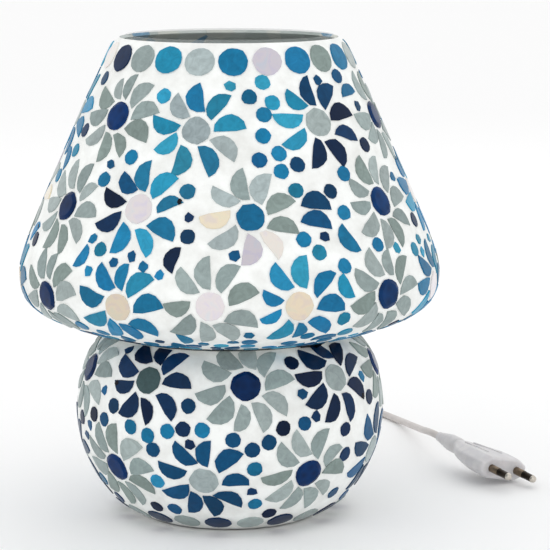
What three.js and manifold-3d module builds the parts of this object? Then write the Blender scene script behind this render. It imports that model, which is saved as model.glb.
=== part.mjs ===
// A mosaic glass table lamp: one blown glass envelope (round base, waist, wide shade) under a skin of
// grout and glass chips, a lamp holder on a bracket clamped to the glass floor, a screw bulb, and a
// mains cord with an in-line switch and a moulded two-pin plug.
// Units are millimetres. +Z is up, -Y is the front, and the lamp stands on z = 0 round the Z axis.
import * as THREE from "three";
import { mergeVertices } from "three/addons/utils/BufferGeometryUtils.js";
import Module from "manifold-3d";

const wasm = await Module();
wasm.setup();

// ---------------------------------------------------------------- driving dimensions
const GAP = 0.3; // left between touching pieces
const ROUND = 32; // sides of the big glass shells
const SMALL_ROUND = 16; // sides of fittings

const HEIGHT = 275;
const RIM_RADIUS = 62;
const SHADE_RADIUS = 119.7;
const WAIST_RADIUS = 68;
const WAIST_Z = 106;
const BASE_RADIUS = 88.2;
const BASE_CENTRE_Z = 62;
const BASE_HALF_HEIGHT = 79;
const FOOT_RADIUS = 50.2;

const MOSAIC_WALL = 2.4;
const GLASS_WALL = 2.6;
const FOOT_EDGE_Z = 0.4; // the mosaic ends just above the table, and the felt ring carries the lamp

const FLOOR_HOLE_RADIUS = 20; // opening in the glass floor
const GLASS_FLOOR_Z = 8.4; // underside of the raised glass floor
const PLATE_RADIUS = 30;
const PLATE_THICKNESS = 1.2;
const GASKET_THICKNESS = 1.4;
const SCREW_X = 16.8; // the two clamp screws stand at +-SCREW_X
const SCREW_RADIUS = 2;

const BRACKET_TOP_Z = 66.4;
const BRACKET_LEG_X = 10; // inner face of a leg
const BRACKET_SHEET = 1.5;
const BRACKET_WIDTH = 16;
const NIPPLE_RADIUS = 5;
const NIPPLE_BORE = 3.5;

const HOLDER_Z = BRACKET_TOP_Z + 4;
const HOLDER_RADIUS = 19.5;
const SCREW_CAP_RADIUS = 13.1; // bulb cap
const BULB_TIP_Z = HOLDER_Z + 26.5;
const BULB_LENGTH = 104.6;
const BULB_RADIUS = 30;

const CORD_DIAMETER = 4.4;
const CORD_RADIUS = CORD_DIAMETER / 2;
const CORD_EXIT_Z = 34; // where the cord leaves the back of the base
const RELIEF_LENGTH = 26;

const COIL_X = 29.9;
const COIL_Y = 150;
const COIL_MEAN_RADIUS = 25.5;
const COIL_HALF_WIDTH = 6.8;
const COIL_BOTTOM = 1.2;
const COIL_TOP = 14.5;
const TIE_ANGLE = -55; // degrees, seen from above

const SWITCH_CENTRE = [26.9, 214.3];
const SWITCH_ANGLE = 65; // degrees, direction of the cord through the switch
const SWITCH_LENGTH = 58;
const SWITCH_WIDTH = 22;
const SWITCH_SPLIT_Z = 7.8;
const SWITCH_TOP_Z = 16;
const ROCKER_PIVOT_Z = 11.5;
const ROCKER_TILT = 8; // degrees, the off position; on is as far the other way

const PLUG_FACE = [165, 53.2, 9.8];
const PLUG_YAW = -60; // degrees, direction of the pins over the table
const PLUG_PITCH = 6; // degrees, nose down
const PLUG_ROLL = 12; // degrees, right edge down
const PLUG_BODY_LENGTH = 47;
const PLUG_RELIEF_LENGTH = 21.7;
const PLUG_THICKNESS = 13.7;
const PIN_SPACING = 19;
const PIN_LENGTH = 19;
const PIN_RADIUS = 2.4;

// ---------------------------------------------------------------- materials
const finish = (color, roughness, metalness = 0, more = {}) =>
  new THREE.MeshStandardMaterial({ color, roughness, metalness, ...more });

const clearGlass = finish(0xdfe8ea, 0.08, 0, { transparent: true, opacity: 0.4 });
const mosaic = finish(0x9fb3bd, 0.3);
const felt = finish(0x3a3b3d, 0.95);
const rubber = finish(0x2b2b2b, 0.8);
const zincSteel = finish(0xb9bcc0, 0.35, 1);
const brass = finish(0xc6a355, 0.3, 1);
const ceramic = finish(0xf0ede6, 0.4);
const holderPlastic = finish(0xf2f2ee, 0.45);
const opalGlass = finish(0xf6f4ee, 0.25);
const nickel = finish(0xa8a39b, 0.3, 1);
const cordPlastic = finish(0xd9d7d3, 0.5);
const plugPlastic = finish(0xe8e6e3, 0.45);
const switchPlastic = finish(0xebe9e5, 0.45);

// ---------------------------------------------------------------- solids
// Turns a geometry's faces outwards, welds it and checks it by making it a solid.
function toSolid(geometry) {
  const bare = geometry.index ? geometry.toNonIndexed() : geometry.clone();
  bare.deleteAttribute("normal");
  bare.deleteAttribute("uv");
  const welded = mergeVertices(bare, 1e-4);
  const points = welded.attributes.position.array;
  const corners = [];
  let volume = 0;
  for (let i = 0; i < welded.index.count; i += 3) {
    const [a, b, c] = [0, 1, 2].map((k) => welded.index.array[i + k]);
    if (a === b || b === c || c === a) continue;
    corners.push([a, b, c]);
    const [p, q, r] = [a, b, c].map((v) => new THREE.Vector3().fromArray(points, 3 * v));
    volume += p.dot(q.cross(r));
  }
  const triVerts = Uint32Array.from(corners.flatMap(([a, b, c]) => (volume > 0 ? [a, b, c] : [a, c, b])));
  const mesh = new wasm.Mesh({ numProp: 3, vertProperties: Float32Array.from(points), triVerts });
  return new wasm.Manifold(mesh);
}

function toGeometry(solid) {
  const { vertProperties, triVerts } = solid.getMesh();
  const geometry = new THREE.BufferGeometry();
  geometry.setAttribute("position", new THREE.BufferAttribute(vertProperties, 3));
  geometry.setIndex(new THREE.BufferAttribute(triVerts, 1));
  geometry.computeVertexNormals();
  return geometry;
}

// A body turned round the Z axis from [radius, height] pairs that close on themselves or on the axis.
function turned(profile, sides = SMALL_ROUND) {
  const points = profile.map(([r, z]) => new THREE.Vector2(r, z));
  return toSolid(new THREE.LatheGeometry(points, sides).rotateX(Math.PI / 2));
}

// A ring or disc between two radii and two heights.
function ring(inner, outer, low, high, sides = SMALL_ROUND) {
  if (inner === 0) return turned([[0, low], [outer, low], [outer, high], [0, high]], sides);
  return turned([[inner, low], [outer, low], [outer, high], [inner, high], [inner, low]], sides);
}

function rodAt(radius, low, high, x = 0) {
  return ring(0, radius, low, high).translate([x, 0, 0]);
}

// An outline in the XY plane, raised from one height to another.
function raised(outline, low, high) {
  const shape = Array.isArray(outline) ? new THREE.Shape(outline.map(([x, y]) => new THREE.Vector2(x, y))) : outline;
  const geometry = new THREE.ExtrudeGeometry(shape, { depth: high - low, bevelEnabled: false, curveSegments: 5 });
  return toSolid(geometry.translate(0, 0, low));
}

// The same outline standing up: its X and Y become X and Z, and it is thick along Y.
function standing(outline, thickness) {
  return raised(outline, -thickness / 2, thickness / 2).rotate([90, 0, 0]);
}

function roundedRectangle(length, width, corner) {
  const [x, y] = [length / 2, width / 2];
  const shape = new THREE.Shape();
  shape.moveTo(-x + corner, -y);
  shape.lineTo(x - corner, -y);
  shape.quadraticCurveTo(x, -y, x, -y + corner);
  shape.lineTo(x, y - corner);
  shape.quadraticCurveTo(x, y, x - corner, y);
  shape.lineTo(-x + corner, y);
  shape.quadraticCurveTo(-x, y, -x, y - corner);
  shape.lineTo(-x, -y + corner);
  shape.quadraticCurveTo(-x, -y, -x + corner, -y);
  return shape;
}

// A round cord along hand-chosen points, with a step of about two diameters.
function cordAlong(route, sides = 10) {
  const path = new THREE.CatmullRomCurve3(route.map((p) => new THREE.Vector3(...p)), false, "centripetal");
  const corners = Array.from({ length: sides }, (_, i) => (2 * Math.PI * i) / sides);
  const section = new THREE.Shape(
    corners.map((a) => new THREE.Vector2(CORD_RADIUS * Math.cos(a), CORD_RADIUS * Math.sin(a))),
  );
  const steps = Math.max(4, Math.round(path.getLength() / (2.2 * CORD_DIAMETER)));
  return toSolid(new THREE.ExtrudeGeometry(section, { steps, extrudePath: path, bevelEnabled: false }));
}

const lamp = new THREE.Group();

function add(name, solid, material, parent = lamp) {
  const mesh = new THREE.Mesh(toGeometry(solid), material);
  mesh.name = name;
  parent.add(mesh);
}

// ---------------------------------------------------------------- outlines of the envelope
// Radius and height of the mosaic's outer face, from the foot up to the waist.
function baseOutline() {
  const outline = [[FOOT_RADIUS, FOOT_EDGE_Z], [55.2, 2.8], [60, 5.6]];
  const [low, high, rings] = [10, 95, 7];
  for (let i = 0; i <= rings; i++) {
    // Rings gather at both ends, where the ball curves most.
    const z = (low + high) / 2 - ((high - low) / 2) * Math.cos((Math.PI * i) / rings);
    outline.push([BASE_RADIUS * Math.sqrt(1 - ((z - BASE_CENTRE_Z) / BASE_HALF_HEIGHT) ** 2), z]);
  }
  outline.push([77.3, 99.2], [73.2, 102.9], [WAIST_RADIUS, WAIST_Z - GAP / 2]);
  return outline;
}

// The same from the waist, out under the shade, round its lower edge and up to the rim.
const shadeOutline = () => [
  [WAIST_RADIUS, WAIST_Z + GAP / 2], [79, 108.8], [90, 111.9], [100, 115.6], [109, 120], [115.3, 125.3],
  [118.8, 132], [SHADE_RADIUS, 139], [119, 147], [114.8, 160.5], [107.2, 179], [93.5, 210.5],
  [81, 239], [74, 253.5], [69.4, 264], [66, 270.2], [RIM_RADIUS, HEIGHT - 1],
];

// The outline moved into the wall, square to itself.
function inset(outline, depth) {
  return outline.map(([r, z], i) => {
    const before = outline[Math.max(i - 1, 0)];
    const after = outline[Math.min(i + 1, outline.length - 1)];
    const along = new THREE.Vector2(after[0] - before[0], after[1] - before[1]).normalize();
    return [r - along.y * depth, z + along.x * depth];
  });
}

const skin = (outline) => turned([...outline, ...inset(outline, MOSAIC_WALL).reverse(), outline[0]], ROUND);

function glassEnvelope() {
  const outside = MOSAIC_WALL + GAP;
  const inside = outside + GLASS_WALL;
  const floorTop = GLASS_FLOOR_Z + GLASS_WALL;
  const floorUnder = [
    [38, 2.9], [33, GLASS_FLOOR_Z], [FLOOR_HOLE_RADIUS, GLASS_FLOOR_Z],
    [FLOOR_HOLE_RADIUS, floorTop], [34, floorTop], [39.4, 5.7],
  ].reverse();
  const neckInside = [
    [WAIST_RADIUS + 0.8, WAIST_Z + 6.2], [WAIST_RADIUS - 4.2, WAIST_Z + 3.8],
    [WAIST_RADIUS - 5.2, WAIST_Z - 0.6], [WAIST_RADIUS - 3, WAIST_Z - 4.6],
  ];
  const rim = [[RIM_RADIUS - 3, HEIGHT], [RIM_RADIUS - 5.4, HEIGHT]];
  const profile = [
    ...inset(baseOutline(), outside),
    ...inset(shadeOutline(), outside),
    ...rim,
    ...inset(shadeOutline(), inside).slice(1).reverse(),
    ...neckInside,
    ...inset(baseOutline(), inside).slice(0, -2).reverse(),
    ...floorUnder,
  ];
  return turned([...profile, profile[0]], ROUND);
}

// ---------------------------------------------------------------- cord exit in the back of the base
const exitRadius = BASE_RADIUS * Math.sqrt(1 - ((CORD_EXIT_Z - BASE_CENTRE_Z) / BASE_HALF_HEIGHT) ** 2);
// The hole is square to the wall, so it tilts down towards the table.
const exitTilt = Math.atan2(
  (BASE_CENTRE_Z - CORD_EXIT_Z) / BASE_HALF_HEIGHT ** 2,
  exitRadius / BASE_RADIUS ** 2,
);
const exitPoint = (distance) => [
  0,
  exitRadius + distance * Math.cos(exitTilt),
  CORD_EXIT_Z - distance * Math.sin(exitTilt),
];
const alongExit = (solid) =>
  solid.rotate([-90 - THREE.MathUtils.radToDeg(exitTilt), 0, 0]).translate([0, exitRadius, CORD_EXIT_Z]);

const exitHole = alongExit(ring(0, 5.2, -20, 12));
add("glass_envelope", glassEnvelope().subtract(exitHole), clearGlass);
add("base_mosaic", skin(baseOutline()).subtract(exitHole), mosaic);
add("shade_mosaic", skin(shadeOutline()), mosaic);

const reliefInside = 7.4; // face of the inner flange, below the wall's outer face
const reliefProfile = [
  [0, -reliefInside - 3], [6.8, -reliefInside - 3], [6.8, -reliefInside], [4.7, -reliefInside],
  [4.7, 0.8], [7.4, 0.8], [7.4, 2.6], [5, 4.2], [4.3, 14], [3.2, RELIEF_LENGTH], [0, RELIEF_LENGTH],
];
add("cord_strain_relief", alongExit(turned(reliefProfile)), cordPlastic);

// ---------------------------------------------------------------- clamp in the glass floor
add("foot_ring", ring(38.8, 47.5, 0, 2.6, ROUND), felt);

const screwHole = (x) => rodAt(SCREW_RADIUS + GAP, -5, 40, x);
const bothHoles = screwHole(SCREW_X).add(screwHole(-SCREW_X));
const lowerGasketTop = GLASS_FLOOR_Z - GAP;
const lowerPlateTop = lowerGasketTop - GASKET_THICKNESS - GAP;
const lowerPlateUnder = lowerPlateTop - PLATE_THICKNESS;
const upperGasketUnder = GLASS_FLOOR_Z + GLASS_WALL + GAP;
const upperPlateUnder = upperGasketUnder + GASKET_THICKNESS + GAP;
const upperPlateTop = upperPlateUnder + PLATE_THICKNESS;
const gasket = (low) => ring(FLOOR_HOLE_RADIUS, PLATE_RADIUS, low, low + GASKET_THICKNESS);
const plate = (low) => ring(0, PLATE_RADIUS, low, low + PLATE_THICKNESS).subtract(bothHoles);
add("lower_gasket", gasket(lowerGasketTop - GASKET_THICKNESS), rubber);
add("lower_plate", plate(lowerPlateUnder), zincSteel);
add("upper_gasket", gasket(upperGasketUnder), rubber);
add("upper_plate", plate(upperPlateUnder), zincSteel);

// ---------------------------------------------------------------- bracket and its fasteners
const footZ = upperPlateTop + GAP;
const legOut = BRACKET_LEG_X + BRACKET_SHEET;
const bracketOutline = [
  [-22.5, footZ], [-BRACKET_LEG_X, footZ], [-BRACKET_LEG_X, BRACKET_TOP_Z - BRACKET_SHEET],
  [BRACKET_LEG_X, BRACKET_TOP_Z - BRACKET_SHEET], [BRACKET_LEG_X, footZ], [22.5, footZ],
  [22.5, footZ + BRACKET_SHEET], [legOut, footZ + BRACKET_SHEET], [legOut, BRACKET_TOP_Z],
  [-legOut, BRACKET_TOP_Z], [-legOut, footZ + BRACKET_SHEET], [-22.5, footZ + BRACKET_SHEET],
];
const nippleHole = rodAt(NIPPLE_RADIUS + GAP, 50, 80);
add(
  "holder_bracket",
  standing(bracketOutline, BRACKET_WIDTH).subtract(bothHoles).subtract(nippleHole),
  zincSteel,
);


// A hexagon nut with a round hole.
function roundHoledNut(acrossFlats, holeRadius, low, high, x = 0) {
  const blank = ring(0, acrossFlats / Math.sqrt(3), low, high, 6).translate([x, 0, 0]);
  return blank.subtract(rodAt(holeRadius, low - 1, high + 1, x));
}

const screwHeadUnder = lowerPlateUnder - GAP - 2.3;
const screwProfile = [
  [0, screwHeadUnder], [3, screwHeadUnder], [3.9, screwHeadUnder + 1], [3.9, lowerPlateUnder - GAP],
  [SCREW_RADIUS, lowerPlateUnder - GAP], [SCREW_RADIUS, 22], [0, 22],
];
const nutLow = footZ + BRACKET_SHEET + GAP;
for (const [side, x] of [["left", -SCREW_X], ["right", SCREW_X]]) {
  add(`clamp_screw_${side}`, turned(screwProfile, 16).translate([x, 0, 0]), zincSteel);
  add(`clamp_nut_${side}`, roundHoledNut(7, SCREW_RADIUS + GAP, nutLow, nutLow + 3.2, x), zincSteel);
}

add("nipple", ring(NIPPLE_BORE, NIPPLE_RADIUS, 58, HOLDER_Z + 8), brass);
const lockNut = (low) => roundHoledNut(14, NIPPLE_RADIUS + GAP, low, low + 3.4);
add("lock_nut_lower", lockNut(BRACKET_TOP_Z - BRACKET_SHEET - GAP - 3.4), brass);
add("lock_nut_upper", lockNut(BRACKET_TOP_Z + GAP), brass);

// ---------------------------------------------------------------- lamp holder
const capTop = HOLDER_Z + 21.6;
const capProfile = [
  [NIPPLE_RADIUS + GAP, HOLDER_Z], [9, HOLDER_Z], [9, HOLDER_Z + 4], [14.5, HOLDER_Z + 7],
  [18.4, HOLDER_Z + 12], [HOLDER_RADIUS, capTop], [17.6, capTop], [16.6, HOLDER_Z + 12.5],
  [13.5, HOLDER_Z + 9], [NIPPLE_RADIUS + GAP, HOLDER_Z + 9], [NIPPLE_RADIUS + GAP, HOLDER_Z],
];
add("holder_cap", turned(capProfile, 20), holderPlastic);

const insertTop = HOLDER_Z + 23.4;
const insertProfile = [
  [0, HOLDER_Z + 14.5], [12, HOLDER_Z + 14.5], [16.2, HOLDER_Z + 15.5], [17, capTop], [17, insertTop], [0, insertTop],
];
add("holder_insert", turned(insertProfile, 20), ceramic);
const shellTop = HOLDER_Z + 43;
add("thread_shell", ring(SCREW_CAP_RADIUS + 0.5, SCREW_CAP_RADIUS + 1, insertTop + GAP, shellTop, 20), brass);

// The springy tongue that meets the bulb's tip: a foot on the insert and an arm raised over it.
const tongueLow = insertTop + GAP;
const tongueOutline = [
  [-9, tongueLow], [-4, tongueLow], [3.6, BULB_TIP_Z - GAP - 0.9], [4.6, BULB_TIP_Z - GAP - 0.9],
  [4.6, BULB_TIP_Z - GAP], [3, BULB_TIP_Z - GAP], [-4.4, tongueLow + 0.9], [-9, tongueLow + 0.9],
];
add("centre_contact", standing(tongueOutline, 5), brass);

const sleeveTop = HOLDER_Z + 51.6;
const sleeveProfile = [
  [17.6, capTop + GAP], [HOLDER_RADIUS, capTop + GAP], [HOLDER_RADIUS, capTop + 7], [18.4, capTop + 8.4],
  [17.6, sleeveTop - 1], [16.8, sleeveTop], [15.6, sleeveTop], [15.6, insertTop + 1.5], [17.6, insertTop + 1.5],
  [17.6, capTop + GAP],
];
add("holder_sleeve", turned(sleeveProfile, 20), holderPlastic);

// ---------------------------------------------------------------- bulb
const bulbZ = (height) => BULB_TIP_Z + height;
const tipProfile = [[0, bulbZ(0)], [2.6, bulbZ(0)], [4.6, bulbZ(1)], [4.6, bulbZ(1.7)], [0, bulbZ(1.7)]];
add("bulb_tip_contact", turned(tipProfile), nickel);
const insulatorProfile = [[0, bulbZ(2)], [5, bulbZ(2)], [10.6, bulbZ(5.2)], [10.6, bulbZ(5.6)], [0, bulbZ(5.6)]];
add("bulb_insulator", turned(insulatorProfile), rubber);
const bulbCapProfile = [
  [0, bulbZ(5.9)], [11.2, bulbZ(5.9)], [SCREW_CAP_RADIUS, bulbZ(8.4)], [SCREW_CAP_RADIUS, bulbZ(24)],
  [12.7, bulbZ(25.4)], [0, bulbZ(25.4)],
];
add("bulb_cap", turned(bulbCapProfile, 20), nickel);
const bulbOutline = [
  [12.4, 25.7], [13.3, 29], [15.8, 35.4], [21, 44.6], [26.8, 54.8], [29.7, 64.8], [BULB_RADIUS, 72],
  [28.4, 82], [24, 91.8], [16.6, 99.3], [8.2, 103.4], [0, BULB_LENGTH],
].map(([r, height]) => [r, bulbZ(height)]);
const bulbWall = 0.9;
const bulbInside = bulbOutline.slice(0, -1).map(([r, z], i) => {
  const [below, above] = [bulbOutline[Math.max(i - 1, 0)], bulbOutline[i + 1]];
  const along = new THREE.Vector2(above[0] - below[0], above[1] - below[1]).normalize();
  return [r - along.y * bulbWall, i === 0 ? z : z + along.x * bulbWall];
});
const bulbProfile = [...bulbOutline, [0, bulbZ(BULB_LENGTH - bulbWall)], ...bulbInside.reverse(), bulbOutline[0]];
add("bulb_glass", turned(bulbProfile, 18), opalGlass);

// ---------------------------------------------------------------- cord inside the base
const innerRoute = [
  exitPoint(-reliefInside - 3 - GAP), [0, 65, 40.8], [0, 56, 42.6], [0, 45, 42.6], [0, 34, 40.6],
  [0, 24, 38.8], [0, 14, 39.8], [0, 6.2, 45], [0, 1.4, 53], [0, 0, 62], [0, 0, HOLDER_Z + 9],
];
add("inner_cord", cordAlong(innerRoute), cordPlastic);

// ---------------------------------------------------------------- free cord
// From the strain relief down onto the coil.
const reliefToCoil = [
  exitPoint(RELIEF_LENGTH + GAP), [0.2, 112, 21.5], [0.8, 118, 19.6], [1.7, 124, 18.3], [2.6, 128.4, 17.7],
];
// From the coil's lowest turn into the switch.
const coilToSwitch = [[10.4, 178.9, 4.6], [12, 182.4, 6.2], [14.1, 186.9, 7.3]];
// From the switch round behind the lamp, then forwards over the table to the plug.
const switchToPlug = [
  [39.3, 240.9, 8], [42.4, 247.4, 7.4], [47.3, 255, 5.6], [56.5, 262.7, 3.6], [67.7, 266.8, 2.6],
  [79.7, 266.8, 2.3], [91, 262.7, 2.3], [99.3, 255.9, 2.3], [105.1, 247, 2.3], [109.8, 235.9, 2.4],
  [113.2, 225.6, 3], [116.2, 210.4, 4.6], [118.7, 190.8, 7.2], [121, 168.9, 10.4], [123.2, 147, 13.6],
  [124.6, 131, 16.4],
];

function plugPoint(along) {
  // A point on the plug's axis, so far from its face towards the pins.
  const [yaw, pitch] = [PLUG_YAW, PLUG_PITCH].map(THREE.MathUtils.degToRad);
  return [
    PLUG_FACE[0] + along * Math.cos(yaw) * Math.cos(pitch),
    PLUG_FACE[1] + along * Math.sin(yaw) * Math.cos(pitch),
    PLUG_FACE[2] - along * Math.sin(pitch),
  ];
}
const plugTail = PLUG_BODY_LENGTH + GAP + PLUG_RELIEF_LENGTH;
switchToPlug.push(plugPoint(-plugTail - 6), plugPoint(-plugTail - GAP));

add("cord_relief_to_coil", cordAlong(reliefToCoil), cordPlastic);
add("cord_coil_to_switch", cordAlong(coilToSwitch), cordPlastic);
add("cord_switch_to_plug", cordAlong(switchToPlug), cordPlastic);

// The wound length: nine turns, three wide and three high.
const coilInner = COIL_MEAN_RADIUS - COIL_HALF_WIDTH;
const coilOuter = COIL_MEAN_RADIUS + COIL_HALF_WIDTH;
const coilProfile = [
  [coilInner, COIL_BOTTOM + 1.5], [coilInner + 1.5, COIL_BOTTOM], [coilOuter - 1.5, COIL_BOTTOM],
  [coilOuter, COIL_BOTTOM + 1.5], [coilOuter, COIL_TOP - 1.5], [coilOuter - 1.5, COIL_TOP],
  [coilInner + 1.5, COIL_TOP], [coilInner, COIL_TOP - 1.5], [coilInner, COIL_BOTTOM + 1.5],
];
add("cord_coil", turned(coilProfile, 24).translate([COIL_X, COIL_Y, 0]), cordPlastic);

const tieInner = roundedRectangle(2 * COIL_HALF_WIDTH + 1.4, COIL_TOP - COIL_BOTTOM + 2 * GAP, 2);
const tieOuter = roundedRectangle(2 * COIL_HALF_WIDTH + 2.8, COIL_TOP - COIL_BOTTOM + 2 * GAP + 1.4, 2.6);
const tie = standing(tieOuter, 6)
  .subtract(standing(tieInner, 8))
  .translate([COIL_MEAN_RADIUS, 0, (COIL_TOP + COIL_BOTTOM) / 2])
  .rotate([0, 0, TIE_ANGLE])
  .translate([COIL_X, COIL_Y, 0]);
add("coil_tie", tie, rubber);

// ---------------------------------------------------------------- in-line switch
const inlineSwitch = new THREE.Group();
inlineSwitch.position.set(SWITCH_CENTRE[0], SWITCH_CENTRE[1], 0);
inlineSwitch.rotation.z = THREE.MathUtils.degToRad(SWITCH_ANGLE);
lamp.add(inlineSwitch);

const SWITCH_BOTTOM_Z = 0.3;
const switchWall = 1.8;
const bossX = 21;
const outer = roundedRectangle(SWITCH_LENGTH, SWITCH_WIDTH, 8);
const pocket = roundedRectangle(SWITCH_LENGTH - 2 * switchWall, SWITCH_WIDTH - 2 * switchWall, 6.5);
const boss = (low, high) => rodAt(4, low, high, bossX).add(rodAt(4, low, high, -bossX));
const pilot = (radius, low, high) => rodAt(radius, low, high, bossX).add(rodAt(radius, low, high, -bossX));
const upperLow = SWITCH_SPLIT_Z + GAP;
const lowerShell = raised(outer, SWITCH_BOTTOM_Z, SWITCH_SPLIT_Z)
  .subtract(raised(pocket, SWITCH_BOTTOM_Z + switchWall, SWITCH_SPLIT_Z + 1))
  .add(boss(SWITCH_BOTTOM_Z + 1, SWITCH_SPLIT_Z))
  .subtract(pilot(3.1, -1, 3.2))
  .subtract(pilot(1.7, -1, SWITCH_SPLIT_Z + 1));
const rockerSlot = raised(roundedRectangle(17, 10, 1), ROCKER_PIVOT_Z, SWITCH_TOP_Z + 1);
const upperShell = raised(outer, upperLow, SWITCH_TOP_Z)
  .subtract(raised(pocket, upperLow - 1, SWITCH_TOP_Z - switchWall))
  .add(boss(upperLow, SWITCH_TOP_Z - 1))
  .subtract(pilot(1.7, upperLow - 1, 12.6))
  .subtract(rockerSlot);
add("switch_lower_shell", lowerShell, switchPlastic, inlineSwitch);
add("switch_upper_shell", upperShell, switchPlastic, inlineSwitch);
const shellScrew = [[0, 0.7], [2.7, 0.7], [2.7, 2.8], [1.3, 2.8], [1.3, 12], [0, 12]];
add("switch_screw_front", turned(shellScrew, 14).translate([-bossX, 0, 0]), zincSteel, inlineSwitch);
add("switch_screw_rear", turned(shellScrew, 14).translate([bossX, 0, 0]), zincSteel, inlineSwitch);

// Heights in the rocker's outline are above its pivot.
const rockerOutline = [
  [-3, -2.2], [3, -2.2], [6.2, 1.2], [7.2, 5.6], [3.6, 4.7], [0, 4.4], [-3.6, 4.7], [-7.2, 5.6], [-6.2, 1.2],
];
const trunnion = ring(0, 1.2, -6.6, 6.6, 14).rotate([90, 0, 0]);
const rocker = standing(rockerOutline, 9)
  .add(trunnion)
  .rotate([0, -ROCKER_TILT, 0])
  .translate([0, 0, ROCKER_PIVOT_Z]);
add("switch_rocker", rocker, plugPlastic, inlineSwitch);

// ---------------------------------------------------------------- plug
// In the plug's own frame X runs along the pins, Y across them and Z through the thickness.
const plug = new THREE.Group();
plug.position.set(...PLUG_FACE);
plug.rotation.set(
  THREE.MathUtils.degToRad(-PLUG_ROLL),
  THREE.MathUtils.degToRad(PLUG_PITCH),
  THREE.MathUtils.degToRad(PLUG_YAW),
  "ZYX",
);
lamp.add(plug);

const tailX = -PLUG_BODY_LENGTH;
const plugPlan = [
  [tailX, -5.2], [tailX + 6, -8.6], [tailX + 17, -14.6], [-13, -17.5], [-3, -17.3], [0, -16.4],
  [0, 16.4], [-3, 17.3], [-13, 17.5], [tailX + 17, 14.6], [tailX + 6, 8.6], [tailX, 5.2],
];
const half = PLUG_THICKNESS / 2;
const plugSide = [
  [tailX, -4.4], [tailX + 14, -5.6], [-15, -half], [-1, -half], [0, -half + 0.8],
  [0, half - 0.8], [-1, half], [-15, half], [tailX + 14, 5.6], [tailX, 4.4],
];
const plugFrontView = [
  [-17.5, -3.4], [-12.5, -half], [12.5, -half], [17.5, -3.4], [17.5, 3.4], [12.5, half], [-12.5, half], [-17.5, 3.4],
];
const frontView = raised(plugFrontView, -PLUG_BODY_LENGTH - 1, 1).rotate([90, 0, 90]);
const plugBody = raised(plugPlan, -10, 10).intersect(standing(plugSide, 40)).intersect(frontView);
add("plug_body", plugBody, plugPlastic, plug);

const reliefStart = -GAP;
const plugRelief = [
  [0, reliefStart], [4.2, reliefStart], [5.3, reliefStart - 3], [5.1, -10], [3.1, -PLUG_RELIEF_LENGTH],
  [0, -PLUG_RELIEF_LENGTH],
];
const alongX = (solid) => solid.rotate([0, 90, 0]);
add("plug_strain_relief", alongX(turned(plugRelief)).translate([tailX, 0, 0]), plugPlastic, plug);

const pinProfile = [
  [0, GAP], [PIN_RADIUS, GAP], [PIN_RADIUS, PIN_LENGTH - 2], [1.7, PIN_LENGTH - 0.5], [0, PIN_LENGTH],
];
for (const [side, y] of [["left", -PIN_SPACING / 2], ["right", PIN_SPACING / 2]]) {
  add(`plug_pin_${side}`, alongX(turned(pinProfile, 16)).translate([0, y, 0]), nickel, plug);
}

export default lamp;
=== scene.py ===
# %% [markdown]
# # Mosaic glass table lamp
# The real lamp is one blown glass bubble: a round base, a waist and a wide shade, open at the top.
# Pieces of coloured glass are glued over all of it and the gaps are filled with white grout.
# Inside stand a holder and a bulb, and a white cord leaves the back of the base.
# This lesson loads the measured frame of the lamp and dresses it piece by piece.
# Lengths are written in millimetres and turned to Blender's metres by MM.

import math
import random

import bmesh
import bpy
from mathutils import Matrix, Vector, noise
from mathutils.bvhtree import BVHTree


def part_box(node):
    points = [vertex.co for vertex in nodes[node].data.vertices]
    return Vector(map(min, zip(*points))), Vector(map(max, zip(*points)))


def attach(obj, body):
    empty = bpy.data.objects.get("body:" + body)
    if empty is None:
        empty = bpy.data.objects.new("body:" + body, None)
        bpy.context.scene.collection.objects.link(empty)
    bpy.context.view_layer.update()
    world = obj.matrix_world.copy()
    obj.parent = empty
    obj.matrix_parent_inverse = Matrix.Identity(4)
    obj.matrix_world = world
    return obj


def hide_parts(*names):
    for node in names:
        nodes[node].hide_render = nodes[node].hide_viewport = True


MM = 0.001
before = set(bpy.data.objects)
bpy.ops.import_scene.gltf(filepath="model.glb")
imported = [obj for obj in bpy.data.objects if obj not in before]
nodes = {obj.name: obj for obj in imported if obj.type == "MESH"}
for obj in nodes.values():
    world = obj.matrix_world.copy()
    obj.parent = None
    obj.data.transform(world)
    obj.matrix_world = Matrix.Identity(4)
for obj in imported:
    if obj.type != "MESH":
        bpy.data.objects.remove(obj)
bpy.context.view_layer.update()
scene = bpy.context.scene

# %% [markdown]
# ## Camera, lights and table
# A product picture of a small lamp is taken from a little above, with a long lens and from some way off,
# so the shade keeps its true proportions. The camera could be aimed with a constraint, but two plain
# angles are easier to read: the tilt down, and a small turn that leaves room for the plug on the right.

# %% Camera
CAMERA_BACK = 1430 * MM
CAMERA_HEIGHT = 362.2 * MM
CAMERA_TILT = math.radians(8.94)
CAMERA_TURN = math.radians(1.04)

camera_data = bpy.data.cameras.new("camera")
camera_data.lens = 165.3
camera_data.sensor_width = 36
camera_data.clip_end = 20
camera = bpy.data.objects.new("camera", camera_data)
camera.location = (0, -CAMERA_BACK, CAMERA_HEIGHT)
camera.rotation_euler = (math.radians(90) - CAMERA_TILT, 0, -CAMERA_TURN)
scene.collection.objects.link(camera)
scene.camera = camera
print("camera", [round(v, 3) for v in camera.location])

# %% [markdown]
# The light is a bright room with one wide soft lamp above the camera and two weaker ones at the sides.
# White surfaces should stay white, so the plain Standard view is used instead of a film-like one.

# %% Lights and table
scene.view_settings.view_transform = "Standard"


def soft_lamp(name, place, aim, width, watts):
    data = bpy.data.lights.new(name, "AREA")
    data.shape = "RECTANGLE"
    data.size = width
    data.size_y = width
    data.energy = watts
    lamp = bpy.data.objects.new(name, data)
    lamp.location = place
    lamp.rotation_euler = (Vector(aim) - Vector(place)).to_track_quat("-Z", "Y").to_euler()
    scene.collection.objects.link(lamp)
    return lamp


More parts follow.
